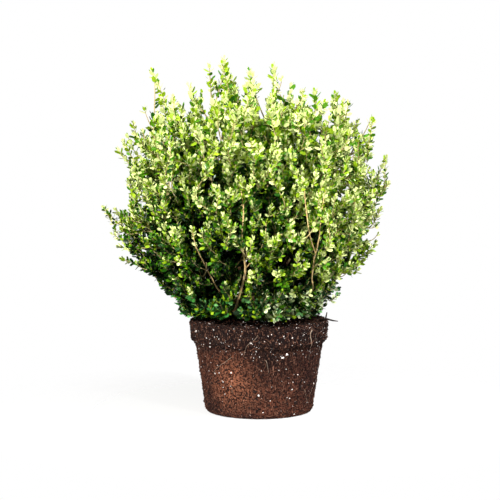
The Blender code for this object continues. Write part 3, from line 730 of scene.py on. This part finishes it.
OUTER_SHOOTS = (  # tip across and up, then a lower point across and up, in millimetres from the trunk's foot
    (-54, 511, -40, 450), (-44, 500, -30, 420), (-36, 486, -22, 420), (-52, 480, -44, 420),
    (-30, 462, -18, 400), (-24, 452, -14, 380), (-186, 478, -164, 420), (-178, 440, -158, 380),
    (-160, 420, -148, 360), (-118, 462, -106, 400), (-92, 462, -84, 400), (34, 488, 18, 430),
    (50, 500, 50, 440), (8, 490, 2, 430), (84, 466, 84, 410), (134, 455, 130, 390),
    (172, 452, 172, 400), (192, 436, 184, 380), (220, 398, 200, 356), (248, 400, 234, 330),
    (246, 370, 234, 310), (226, 345, 222, 290), (274, 320, 268, 260), (264, 290, 256, 240),
    (242, 160, 214, 120), (178, 66, 156, 44), (186, 50, 160, 34), (-252, 358, -226, 312),
    (-254, 324, -222, 290), (-294, 224, -270, 186), (-272, 238, -258, 196), (-268, 146, -240, 136),
    (-280, 170, -250, 150), (-232, 262, -226, 220), (-216, 372, -200, 330), (-156, 432, -142, 396),
)
OUTER_SHOOT_DEPTHS = (-45, 25)  # millimetres, of the tips
LOWER_DEPTH = 0.8  # of the tip's depth, at the lower point
CLEARINGS = (  # where the sky shows through in front: across, up, half width and half height in millimetres
    (25, 420, 9, 32), (38, 455, 10, 20), (70, 455, 11, 18), (101, 460, 9, 14), (-58, 360, 8, 16),
    (-84, 430, 10, 26), (-123, 430, 9, 30), (-137, 450, 8, 24), (-196, 436, 11, 34), (-206, 388, 11, 17),
    (-252, 242, 14, 30), (-158, 264, 6, 9), (-104, 180, 6, 5), (-62, 315, 6, 6), (-184, 50, 14, 14),
    (-163, 27, 14, 14), (-147, 9, 12, 11), (192, 80, 10, 8), (246, 162, 10, 16), (253, 336, 9, 26),
    (204, 324, 6, 16), (232, 376, 7, 16),
)
CLEARING_MIDDLES = np.array(CLEARINGS, float)[:, :2]
CLEARING_HALVES = np.array(CLEARINGS, float)[:, 2:]
MOST_IN_GAP = 0.35  # a branch that shows in a gap for more of its length than this is left out
STEM_CLEARANCE = 7.5  # millimetres
LOWEST_IN_FRONT = (-3.0, -11.0)  # millimetres, on the left and on the right


class Space:
    """The room of one mass: the directions nearest to its own, inside the outline and clear of the boughs."""

    def __init__(self, limb):
        walls = np.array([limb.unit - other.unit for other in limbs if other is not limb])
        self.walls = walls / np.linalg.norm(walls, axis=1)[:, None]
        others = [other.path(12) for other in boughs if other is not limb]
        self.bough_points = np.concatenate(others)

    def holds(self, points, overlap=0.0, slack=OUTLINE_SLACK):
        """Whether all the points lie here, or no further over the walls than the overlap."""
        distance, lean, _ = polar(points)
        if distance.min() < INNER_REACH or points[:, 2].min() < SOIL_GAP:
            return False
        if (distance > outline_reach(lean) * slack).any():
            return False
        if (straightened(points) @ self.walls.T < -overlap).any():
            return False
        apart = np.linalg.norm(points[:, None] - self.bough_points[None], axis=2)
        return bool(apart.min() > BOUGH_ROOM + LIMB_GAP)


def crown_tips(chance):
    """Where twigs end: the long shoots, then tips spread evenly over the crown by the golden angle."""
    tips = []
    for lean, reach in LONG_SHOOTS:
        azimuth = chance.uniform(-1, 1) * LONG_SHOOT_SPREAD + (math.pi if lean < 0 else 0)
        tips.append(unit_at(azimuth, math.radians(abs(lean))) * reach)
    return tips + dealt_tips(TIP_COUNT, DEALING_POWER, 0, chance, lambda number: (
        TIP_REACHES if number % INNER_TIP_EVERY else INNER_TIP_REACHES))


def dealt_tips(count, power, first_azimuth, chance, reaches_of):
    leans = np.linspace(0, LOWEST_TIP_LEAN, 200)
    dealt = np.cumsum(outline_reach(leans) ** power * np.sin(leans))
    tips = []
    for number in range(count):
        lean = float(np.interp((number + 0.5) / count, dealt / dealt[-1], leans))
        azimuth = first_azimuth + number * GOLDEN_ANGLE + chance.uniform(-1, 1) * TIP_JITTER
        tips.append(unit_at(azimuth, lean) * outline_reach(lean) * chance.uniform(*reaches_of(number)))
    return tips


def twig_path(unit, first, last, tip, steps=12):
    along = tip @ unit
    aside = tip - unit * along
    fork = max(along - np.linalg.norm(aside) / math.tan(FORK_ANGLE), first + FIRST_FORK)
    start = unit * min(fork, last * LAST_FORK)
    pull = (start + tip) / 2 + normal_of(aside) * np.linalg.norm(tip - start) * TWIG_BOW
    share = np.linspace(0, 1, steps + 1)[:, None]
    return bent((1 - share) ** 2 * start + 2 * share * (1 - share) * pull + share**2 * tip)


class Branch:
    """A stem, twig or shoot: its path and radii, the mass it is in, and the leaves' share of its length."""

    def __init__(self, path, radii, limb, kind, leafy_share):
        self.path, self.limb, self.kind, self.leafy_share = path, limb, kind, leafy_share
        self.radii = np.linspace(*radii, len(path))
        self.lengths = np.concatenate(([0], np.cumsum(np.linalg.norm(np.diff(path, axis=0), axis=1))))
        self.length = self.lengths[-1]

    def at(self, distance):
        """The place at this distance along the branch and the heading there."""
        step = min(max(int(np.searchsorted(self.lengths, distance, side="right")) - 1, 0), len(self.path) - 2)
        stride = self.path[step + 1] - self.path[step]
        share = (distance - self.lengths[step]) / (self.lengths[step + 1] - self.lengths[step])
        return self.path[step] + stride * share, normal_of(stride)


def outs_at(ahead, turn):
    """The two opposite ways out of a branch at one of its nodes."""
    helper = np.array((0, 0, 1)) if abs(ahead[2]) < 0.9 else np.array((1, 0, 0))
    first = normal_of(np.cross(ahead, helper))
    out = first * math.cos(turn) + np.cross(ahead, first) * math.sin(turn)
    return out, -out


def grow_twigs(limb, space, own_tips):
    middle = bent(limb.unit * CROWN_REACH / 2)
    reach = float(outline_reach(polar(middle)[1]))
    first, last = limb.bare or INNER_REACH, reach * STEM_REACH
    line = bent(np.linspace(first, last, 18)[:, None] * limb.unit)
    seat = limb.end - limb.end_heading * 0.004 if limb.bare else limb.fork
    path = np.concatenate((seat[None], line[1:] if limb.bare else line))
    branches = [Branch(path, (limb.tip, TWIG_RADII[1]), limb, "stem", 0.90)]
    for tip in own_tips:
        straight = straightened(tip - normal_of(tip) * TIP_PULLED_IN)
        for yielding in TIP_YIELDINGS:
            aim = straight + (limb.unit * np.linalg.norm(straight) - straight) * yielding
            path = twig_path(limb.unit, first, last, aim)
            if space.holds(path[1:]):
                branches.append(Branch(path, TWIG_RADII, limb, "twig", leafy_share(path[-1])))
                break
    return branches


def leafy_share(tip):
    return float(np.interp(polar(tip)[1], SHADE_LEANS, SHADE_LEAFY_SHARES))


def grow_fine_twigs(limb, branches, fine_tips):
    """Finer twigs, each from the wood of its mass that lies nearest, the way down to the trunk counted in."""
    seats = np.concatenate([branch.path[1:-1] for branch in branches])
    headings = np.concatenate([np.diff(branch.path, axis=0)[1:] for branch in branches])
    grown_twigs = []
    for tip in sorted(fine_tips, key=np.linalg.norm):
        nearer = np.linalg.norm(seats, axis=1) < np.linalg.norm(tip) - FINE_TWIG_LEAST
        if not nearer.any():
            continue
        way = np.linalg.norm(seats - tip, axis=1) + WAY_WEIGHT * np.linalg.norm(seats, axis=1)
        best = int(np.argmin(np.where(nearer, way, np.inf)))
        seat, heading, length = seats[best], normal_of(headings[best]), np.linalg.norm(tip - seats[best])
        upwards = normal_of(normal_of(tip) + np.array((0, 0, FINE_TWIG_RISE)))
        path = spring_curve(seat, heading, tip, upwards, length, FINE_TWIG_SPRINGS, 9)
        inner = polar(tip)[0] < INNER_FILL_REACHES[1] * outline_reach(polar(tip)[1])
        grown_twigs.append(Branch(path, FINE_TWIG_RADII, limb, "fine", 0.9 if inner else leafy_share(tip)))
        seats = np.concatenate((seats, path[1:-1]))
        headings = np.concatenate((headings, np.diff(path, axis=0)[1:]))
    return grown_twigs


def grow_shoots(parent, space, chance):
    """Shoots in opposite pairs down a twig, and the bare nodes that carry leaves."""
    shoots = []
    distance, turn = parent.length - FIRST_SHOOT, chance.uniform(0, math.pi)
    while distance > parent.length * (1 - parent.leafy_share):
        seat, ahead = parent.at(distance)
        for out in outs_at(ahead, turn):
            if chance.random() > SHOOT_CHANCE:
                continue
            length = chance.uniform(*SHOOT_LENGTHS) * min(1, 0.35 + (parent.length - distance) / 0.06)
            heading = ahead * math.cos(SHOOT_ANGLE) + out * math.sin(SHOOT_ANGLE)
            later = normal_of(heading + ahead * 0.3 + np.array((0, 0, SHOOT_RISE)))
            most = chance.uniform(*SHOOT_TIP_REACHES)
            for shorter in (1, 0.65):
                shares = np.linspace(0, 1, 5)[:, None]
                path = seat + (heading * (shares - shares**2 / 2) + later * shares**2 / 2) * length * shorter
                if space.holds(path[2:], overlap=SHOOT_OVERLAP, slack=most):
                    shoots.append(Branch(path, SHOOT_RADII, parent.limb, "shoot", 0.88))
                    break
        distance -= SHOOT_SPACING * chance.uniform(0.75, 1.25)
        turn += math.pi / 2
    return shoots


def hanging_on(wood_points, points, radii, kind, leafy_share):
    """A branch through given points that starts at the nearest place on wood that is there already."""
    gap = np.linalg.norm(wood_points - points[0], axis=1)
    anchor = wood_points[int(np.argmin(gap))]
    corners = np.array([anchor, *points])
    corners = np.array([2 * corners[0] - corners[1], *corners, 2 * corners[-1] - corners[-2]])
    path = []
    for before, start, end, after in zip(corners, corners[1:], corners[2:], corners[3:]):
        for share in np.linspace(0, 1, 7)[:-1]:
            path.append(0.5 * (2 * start + (end - before) * share
                               + (2 * before - 5 * start + 4 * end - after) * share**2
                               + (3 * start - before - 3 * end + after) * share**3))
    return Branch(np.array([*path, corners[-2]]), radii, limbs[0], kind, leafy_share)


def front_view(places):
    """How far across and up from the trunk's foot places show from the front, in millimetres."""
    scale = 1000 / (1 + places[..., 1] / EYE_DISTANCE)
    up = (places[..., 2] - EYE_HEIGHT + places[..., 1] * SIGHT_RISE) * scale + EYE_HEIGHT * 1000
    return np.stack((places[..., 0] * scale, up), axis=-1)


def in_clearing(places):
    """Whether each place shows in one of the gaps."""
    away = (front_view(places)[..., None, :] - CLEARING_MIDDLES) / CLEARING_HALVES
    return (np.sum(away**2, axis=-1) < 1).any(axis=-1)


def hides_stem(place):
    """Whether a leaf here would stand before one of the front stems."""
    apart = np.linalg.norm(front_view(shown_stems) - front_view(place), axis=-1)
    return bool(((apart < STEM_CLEARANCE) & (shown_stems[:, 1] > place[1])).any())


def hangs_over_rim(place):
    """Whether a leaf here would stand before the rim's edge in front."""
    return bool(place[1] < 0 and front_view(place)[1] < np.interp(place[0], (0.0, 0.05), LOWEST_IN_FRONT))


tips = np.array(crown_tips(chance))
fine_chance = random.Random(SEED + 1)
fine_tips = np.array(dealt_tips(FINE_TIP_COUNT, FINE_DEALING_POWER, 1.0, fine_chance,
                                lambda number: FINE_TIP_REACHES))
inner_tips = np.array(dealt_tips(INNER_TIP_COUNT, INNER_DEALING_POWER, 2.0, fine_chance,
                                 lambda number: INNER_FILL_REACHES))
rim_tips = [unit_at(number * GOLDEN_ANGLE, fine_chance.uniform(*RIM_TIP_LEANS))
            * fine_chance.uniform(*RIM_TIP_REACHES) for number in range(RIM_TIP_COUNT)]
fine_tips = np.concatenate((fine_tips, inner_tips, rim_tips))
units = np.array([limb.unit for limb in limbs])
owner = np.argmax(straightened(tips) @ units.T, axis=1)
fine_owner = np.argmax(straightened(fine_tips) @ units.T, axis=1)
branches = []
for number, limb in enumerate(limbs):
    space = Space(limb)
    mass_chance = random.Random(f"{SEED} {limb.name}")
    twigs = grow_twigs(limb, space, tips[owner == number])
    twigs += grow_fine_twigs(limb, twigs, fine_tips[fine_owner == number])
    shoots = [shoot for twig in twigs for shoot in grow_shoots(twig, space, mass_chance)]
    branches += twigs + shoots
wood_points = np.concatenate([limb.path() for limb in boughs] + [[trunk_point(height)] for height in trunk_heights])
front_stems = []
for base_radius, tip_radius, *points in FRONT_STEMS:
    stem = hanging_on(wood_points, np.array(points) / 1000, (base_radius, tip_radius), "front", 0.35)
    front_stems.append(stem)
    wood_points = np.concatenate((wood_points, stem.path))
lean_in = random.Random(SEED + 3)
twig_points = np.concatenate([branch.path for branch in branches if branch.kind != "shoot"])
for tip_across, tip_up, across, up in OUTER_SHOOTS:
    depth = lean_in.uniform(*OUTER_SHOOT_DEPTHS)
    points = np.array(((across, depth * LOWER_DEPTH, up), (tip_across, depth, tip_up))) / 1000
    points[1] -= normal_of(points[1]) * TIP_PULLED_IN
    branches.append(hanging_on(twig_points, points, FINE_TWIG_RADII, "fine", 0.85))
shown_stems = np.concatenate([stem.path[SHOWN_STEPS] for stem in front_stems if stem.radii[0] > THICK_STEM])
branches = [branch for branch in branches
            if not in_clearing(branch.path[-1]) and in_clearing(branch.path).mean() < MOST_IN_GAP]
branches = front_stems + [branch for branch in branches
                          if branch.kind in ("stem", "twig") or not hides_stem(branch.path[len(branch.path) // 2])]


def stem_tree():
    """Geometry nodes that make round stems along polylines, as thick as their thickness attribute says."""
    tree, given, result = new_grower("round stems", Sides="Int")
    line = node(tree, "GeometryNodeMeshToCurve", Mesh=given["Geometry"])
    thick = node(tree, "GeometryNodeInputNamedAttribute", {"data_type": "FLOAT"}, Name="thickness").outputs[0]
    sized = node(tree, "GeometryNodeSetCurveRadius", Curve=line.outputs[0], Radius=thick)
    ring = node(tree, "GeometryNodeCurvePrimitiveCircle", Resolution=given["Sides"], Radius=1.0)
    skin = node(tree, "GeometryNodeCurveToMesh", Curve=sized.outputs[0], Profile_Curve=ring.outputs[0],
                Scale=thick, Fill_Caps=True)
    soft = node(tree, "GeometryNodeSetShadeSmooth", Geometry=skin.outputs[0])
    end_grower(tree, given, result, soft.outputs[0])
    return tree


def polylines(name, lines):
    """A mesh of edges along the branches, with their thickness."""
    points = np.concatenate([line.path for line in lines]) + FOOT
    edges, start = [], 0
    for line in lines:
        edges += [(start + step, start + step + 1) for step in range(len(line.path) - 1)]
        start += len(line.path)
    mesh = bpy.data.meshes.new(name)
    mesh.from_pydata(points.tolist(), edges, [])
    thickness = mesh.attributes.new("thickness", "FLOAT", "POINT")
    thickness.data.foreach_set("value", np.concatenate([line.radii for line in lines]))
    return mesh


def is_inner(branch):
    middle = branch.path[len(branch.path) // 2]
    return polar(middle)[0] < INNER_WOOD * outline_reach(polar(middle)[1])


round_stems = stem_tree()
# The inner twigs' dark wood is painted shade of the crown's inside.
shaded_inner_wood = bark("old twig wood", (0.090, 0.052, 0.028), (0.045, 0.025, 0.014))
woody = bark("twig wood", (0.44, 0.36, 0.15), (0.24, 0.18, 0.07))
green = bark("green shoots", (0.52, 0.54, 0.18), (0.34, 0.38, 0.09))
# The front stems' bark is young golden tan, made lighter still with painted light.
lit_front_wood = bark("young bark", (0.90, 0.65, 0.29), (0.50, 0.31, 0.12))
twig_wood = [branch for branch in branches if branch.kind in ("stem", "twig", "fine")]
wood_kinds = (  # name, branches, sides and finish
    ("front_stems", front_stems, 8, lit_front_wood),
    ("inner_twigs", [branch for branch in twig_wood if is_inner(branch)], 5, shaded_inner_wood),
    ("twigs", [branch for branch in twig_wood if not is_inner(branch)], 5, woody),
    ("shoots", [branch for branch in branches if branch.kind == "shoot"], 3, green),
)
for name, lines, sides, finish in wood_kinds:
    stems = grown(name, polylines(name, lines), round_stems, Sides=sides, Finish=finish)
    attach(stems, "root")


# The leaves: small, oval and leathery, in opposite pairs, each pair square to the one before. The newest, at
# the crown's edge, are yellow-green, those inside are dark, and those low down, in the shade, are cooler greens.
# The tints also carry painted light and shade. Sprays high up and on the right are dealt lighter tints, and sprays
# inside the crown, low down and on the lower left are dealt darker ones. The darkest tint, shaded, is painted shade.
LEAF_WIDTH = 0.60  # of its length
LEAF_THICKNESS = 0.022
LEAF_OUTLINE = ((0.30, 0.43), (0.75, 0.43))  # share of the length, and half width over the width
LEAF_CREASE = (0.48, -0.03)  # where the blade is deepest along its midrib, and how deep
LEAF_SIZES = (0.80, 1.15)
TOP_LEAVES = ((0.27, 0.40), (1.0, 1.28))  # heights, and how much larger and wider set the leaves are there
LEAF_SPACING = 0.0060
LEAF_OPENINGS = (math.radians(20), math.radians(60))
LEAF_ROLL = math.radians(40)
INNER_LEAVES = (0.10, 0.34)  # share of the crown's reach over which leaves go from few to all
FEWEST_LEAVES = 0.8
TIP_LEAF = (0.62, 0.35)  # size and opening of a branch's newest pair, as shares of a grown leaf's
LEAF_GAIN = (0.2, 0.3)  # what each older pair adds to them
TIP_CROWDING = 0.7  # of the spacing, at the two newest pairs
# Painted light and shade: how much lighter or darker a spray's tint is by its height, on the right and on the lower
# left
LIGHT_BY_HEIGHT = ((0.05, 0.15, 0.28, 0.40), (-0.14, -0.07, 0.08, 0.06))
SIDE_LIGHT = 0.11  # how much more light counts for leaves on the right
SIDE_REACH = 0.18  # how far to the right they count in full
LEAST_SIDE_LIGHT = ((0.20, 0.30), (-0.9, 0.4))  # heights, and the least share of it on the left
TINT_STEP_BY_LIGHT = ((0.50, 0.62, 0.78, 0.94), (3.8, 2.6, 1.3, 0))
DARKENING_TINTS = ("fresh", "bright", "green", "deep", "shaded")
FOOT_HEIGHT = 0.060  # up to this far over the soil leaves have tints of their own
FOOT_MIDDLE = 0.02
# Painted light and shade: the foot's right is dealt the pale tint as painted light, and its left darker tints
FOOT_TINTS = (  # left and right of the foot's middle
    ("low", "low", "bluish", "green", "bright", "bright", "shaded", "shaded"),
    ("pale", "pale", "pale", "bluish", "bright", "low", "green", "shaded", "shaded"),
)
LEAVES_TO_A_PIECE = 12000
TINTS = (  # name, base colour, roughness, size
    ("fresh", (0.670, 0.760, 0.290), 0.48, 1.0),
    ("bright", (0.255, 0.400, 0.008), 0.46, 1.0),
    ("green", (0.060, 0.195, 0.001), 0.44, 1.0),
    ("deep", (0.010, 0.065, 0.001), 0.40, 1.1),
    ("shaded", (0.0020, 0.016, 0.0006), 0.40, 1.35),
    ("bluish", (0.120, 0.330, 0.090), 0.38, 1.1),
    ("low", (0.030, 0.150, 0.022), 0.38, 1.1),
    ("pale", (0.730, 0.840, 0.460), 0.42, 1.1),
)


def leaf_shape():
    """One leaf, one long, along X and facing +Z: a closed blade, creased down its midrib and arched."""
    def at(along, aside, up):
        arch = -0.10 * along**2 - 0.30 * aside**2
        return (along, aside * LEAF_WIDTH, up + arch)

    rim = [at(0, 0, 0)] + [at(along, half, 0) for along, half in LEAF_OUTLINE] + [at(1, 0, 0)]
    rim += [at(along, -half, 0) for along, half in reversed(LEAF_OUTLINE)]
    place, depth = LEAF_CREASE
    creases = [at(place, 0, depth + LEAF_THICKNESS), at(place, 0, depth - LEAF_THICKNESS)]
    corners = len(rim)
    top = [(corner, corners, (corner + 1) % corners) for corner in range(corners)]
    under = [((corner + 1) % corners, corners + 1, corner) for corner in range(corners)]
    leaf = new_piece("leaf", rim + creases, top + under)
    sharp = leaf.data.attributes.new("sharp_edge", "BOOLEAN", "EDGE")
    sharp.data.foreach_set("value", [max(edge.vertices) < corners for edge in leaf.data.edges])
    blade = leaf.data.uv_layers.new(name="blade")
    for loop, spot in zip(leaf.data.loops, blade.data):
        corner = leaf.data.vertices[loop.vertex_index].co
        spot.uv = (corner.x, 0.5 + corner.y)
    return leaf


def leaf_veins():
    """The shader group of midrib, fine side veins and uneven wax that all the leaves share."""
    tree, given, result = new_group("ShaderNodeTree", "leaf veins", {"Blade": "Vector", "Place": "Vector"},
                                    {"Wax": "Float", "Height": "Float"})
    blade = node(tree, "ShaderNodeSeparateXYZ", Vector=given["Blade"])
    apart = reckoned(tree, "ABSOLUTE", reckoned(tree, "SUBTRACT", blade.outputs["Y"], 0.5))
    midrib = ranged(tree, apart, 0.0, 0.05, 1.0, 0.0)
    slanted = node(tree, "ShaderNodeCombineXYZ", X=blade.outputs["X"], Y=apart)
    leaned = node(tree, "ShaderNodeMapping", Vector=slanted.outputs[0], Rotation=(0, 0, math.radians(35)))
    veins = node(tree, "ShaderNodeTexWave", Vector=leaned.outputs[0], Scale=4.0, Distortion=0.4).outputs["Fac"]
    wax = mottle(tree, given["Place"], 420.0, 3.0)
    raised = reckoned(tree, "MULTIPLY_ADD", veins, 0.3, midrib)
    feed(tree, result["Wax"], wax)
    feed(tree, result["Height"], reckoned(tree, "ADD", raised, wax))
    return tree


veins = leaf_veins()


def leaf_finish(name, colour, roughness):
    """A waxy leaf: one plain colour, raised veins, and a skin that is unevenly glossy."""
    made, tree, shader, place = new_material(name, colour, roughness, Specular_IOR_Level=0.25, Coat_Weight=0.15,
                                             Coat_Roughness=0.20)
    blade = node(tree, "ShaderNodeUVMap", {"uv_map": "blade"}).outputs[0]
    veined = node(tree, "ShaderNodeGroup", {"node_tree": veins}, Blade=blade, Place=place)
    uneven = ranged(tree, veined.outputs["Wax"], 0.35, 0.65, roughness - 0.08, roughness + 0.14)
    feed(tree, shader.inputs["Roughness"], uneven)
    add_relief(tree, shader, veined.outputs["Height"], 0.5, 0.0005)
    return made


def leaf_tree():
    """Geometry nodes that put a leaf at every seat, turned and sized by the seat's own attributes."""
    tree, given, result = new_grower("leaves on seats", Leaf="Object", Leaf_length="Float")
    turn = node(tree, "GeometryNodeInputNamedAttribute", {"data_type": "QUATERNION"}, Name="turn")
    size = node(tree, "GeometryNodeInputNamedAttribute", {"data_type": "FLOAT"}, Name="size")
    leaf = node(tree, "GeometryNodeObjectInfo", Object=given["Leaf"])
    placed = node(tree, "GeometryNodeInstanceOnPoints", Points=given["Geometry"],
                  Instance=leaf.outputs["Geometry"], Rotation=turn.outputs[0],
                  Scale=reckoned(tree, "MULTIPLY", size.outputs[0], given["Leaf length"]))
    end_grower(tree, given, result, placed.outputs[0])
    return tree


def tint_step_by_light(place, chance):
    """How far along the darkening tints a spray's newest leaves are: painted light and shade, from how much light
    reaches it.
    """
    distance, lean, _ = polar(place)
    light = distance / outline_reach(lean) + chance.uniform(-0.20, 0.18)
    light += np.interp(place[2], *LIGHT_BY_HEIGHT)
    light += SIDE_LIGHT * np.clip(place[0] / SIDE_REACH, np.interp(place[2], *LEAST_SIDE_LIGHT), 1)
    return float(np.interp(light, *TINT_STEP_BY_LIGHT))


def tint_of(light_step, place, number, chance):
    """The tint of a leaf: a spray's older leaves, further from its tip, are a step or two darker."""
    if place[2] < FOOT_HEIGHT:
        return chance.choice(FOOT_TINTS[int(place[0] > FOOT_MIDDLE)])
    step = light_step + number * 0.17 + chance.uniform(-1.3, 2.1)
    return DARKENING_TINTS[int(min(max(step, 0), 4))]


def leaf_turn(along, facing):
    side = normal_of(np.cross(facing, along))
    up = np.cross(along, side)
    return Matrix((along, side, up)).transposed().to_quaternion()


seats = {name: [] for name, _, _, _ in TINTS}
tint_sizes = {name: size for name, _, _, size in TINTS}
leaf_chance = random.Random(SEED + 2)
for branch in branches:
    light_step = tint_step_by_light(branch.path[-1], leaf_chance)
    distance, turn = branch.length - 0.0005, leaf_chance.uniform(0, math.pi)
    bare = branch.length * (1 - branch.leafy_share)
    number = 0
    while distance > bare:
        size, opening_share = (min(1.0, least + gain * number) for least, gain in zip(TIP_LEAF, LEAF_GAIN))
        seat, ahead = branch.at(distance)
        out_share = polar(seat)[0] / outline_reach(polar(seat)[1])
        keep = np.interp(out_share, INNER_LEAVES, (FEWEST_LEAVES, 1.0))
        ampler = float(np.interp(seat[2], *TOP_LEAVES))
        for out in outs_at(ahead, turn):
            opening = leaf_chance.uniform(*LEAF_OPENINGS) * opening_share
            along = ahead * math.cos(opening) + out * math.sin(opening)
            middle = seat + along * LEAF_LENGTH * size / 2
            if (leaf_chance.random() > keep or in_clearing(middle) or hides_stem(middle)
                    or hangs_over_rim(middle)):
                continue
            facing = ahead * math.sin(opening) - out * math.cos(opening)
            roll = leaf_chance.uniform(-1, 1) * LEAF_ROLL
            facing = facing * math.cos(roll) + np.cross(along, facing) * math.sin(roll)
            length = size * ampler * leaf_chance.uniform(*LEAF_SIZES)
            tint = tint_of(light_step, seat, number, leaf_chance)
            seats[tint].append((seat + FOOT, leaf_turn(along, facing), length * tint_sizes[tint]))
        crowding = TIP_CROWDING if number < 2 else 1
        distance -= LEAF_SPACING * ampler * leaf_chance.uniform(0.85, 1.15) * crowding
        number += 1
        turn += math.pi / 2

leaf = leaf_shape()
leaves_on_seats = leaf_tree()
for name, colour, roughness, _ in TINTS:
    finish = leaf_finish(name + " boxwood leaf", colour, roughness)
    kind = seats[name]
    for start in range(0, len(kind), LEAVES_TO_A_PIECE):
        some = kind[start:start + LEAVES_TO_A_PIECE]
        piece_name = f"leaves_{name}_{start // LEAVES_TO_A_PIECE + 1}"
        points = bpy.data.meshes.new(piece_name)
        points.from_pydata([tuple(seat) for seat, _, _ in some], [], [])
        turns = points.attributes.new("turn", "QUATERNION", "POINT")
        turns.data.foreach_set("value", np.array([tuple(turn) for _, turn, _ in some]).ravel())
        sizes = points.attributes.new("size", "FLOAT", "POINT")
        sizes.data.foreach_set("value", [length for _, _, length in some])
        leaves = grown(piece_name, points, leaves_on_seats, Leaf=leaf, Leaf_length=LEAF_LENGTH, Finish=finish)
        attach(leaves, "root")
        if name == "fresh" and not start:
            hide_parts(*["foliage_" + limb.name for limb in limbs])
bpy.data.objects.remove(leaf)


# The studio: a white floor that runs on into a white backdrop, a soft lamp high on the left in front, one on the
# right above, a weak low one on the right in front, and a camera with a long lens a little above the ball's rim.
CAMERA_TARGET = Vector((-0.018, 0, 0.323))
CAMERA_DISTANCE = 3.0
CAMERA_LIFT = math.radians(5.2)
LAMPS = (  # name, place, what it points at, how large, how bright and colour
    ("key", (-2.0, -2.4, 1.8), (0, 0, 0.30), 0.35, 250, (1.0, 0.99, 0.96)),
    ("side", (1.8, -1.1, 2.8), (0.05, 0, 0.50), 0.40, 165, (1, 1, 1)),
    ("low", (1.9, -2.3, 0.50), (0.05, 0, 0.28), 0.50, 62, (1, 1, 1)),
)


def white_floor():
    """Matt white that thins out to nothing a metre away, so that floor and backdrop meet without a line."""
    made, tree, shader, place = new_material("white floor", (0.90, 0.90, 0.90), 0.7)
    away = node(tree, "ShaderNodeVectorMath", {"operation": "LENGTH"})
    feed(tree, away.inputs[0], place)
    feed(tree, shader.inputs["Alpha"], ranged(tree, away.outputs["Value"], 0.16, 0.62, 0.4, 0.0))
    return made


floor = new_piece("floor", [(-2, -2, 0), (2, -2, 0), (2, 2, 0), (-2, 2, 0)], [(0, 1, 2, 3)], white_floor())

for name, place, aim, across, power, colour in LAMPS:
    light = bpy.data.lights.new(name, "AREA")
    light.shape = "DISK"
    light.size = across
    light.energy = power
    light.color = colour
    lamp = new_object(name, light)
    lamp.location = place
    lamp.rotation_euler = (Vector(aim) - Vector(place)).to_track_quat("-Z", "Y").to_euler()

world = bpy.data.worlds.new("white studio")
world.use_nodes = True
seen = world.node_tree.nodes["Background"]
seen.inputs["Color"].default_value = (1, 1, 1, 1)
lit = node(world.node_tree, "ShaderNodeBackground", Color=(1, 1, 1, 1), Strength=0.05)
rays = node(world.node_tree, "ShaderNodeLightPath")
either = node(world.node_tree, "ShaderNodeMixShader", Fac=rays.outputs["Is Camera Ray"])
world.node_tree.links.new(lit.outputs[0], either.inputs[1])
world.node_tree.links.new(seen.outputs[0], either.inputs[2])
world.node_tree.links.new(either.outputs[0], world.node_tree.nodes["World Output"].inputs["Surface"])
bpy.context.scene.world = world
bpy.context.scene.view_settings.view_transform = "Standard"

camera = new_object("camera", bpy.data.cameras.new("camera"))
camera.data.sensor_width = 36
camera.data.lens = 108
away = Vector((0, -math.cos(CAMERA_LIFT), math.sin(CAMERA_LIFT)))
camera.location = CAMERA_TARGET + away * CAMERA_DISTANCE
camera.rotation_euler = (-away).to_track_quat("-Z", "Y").to_euler()
bpy.context.scene.camera = camera
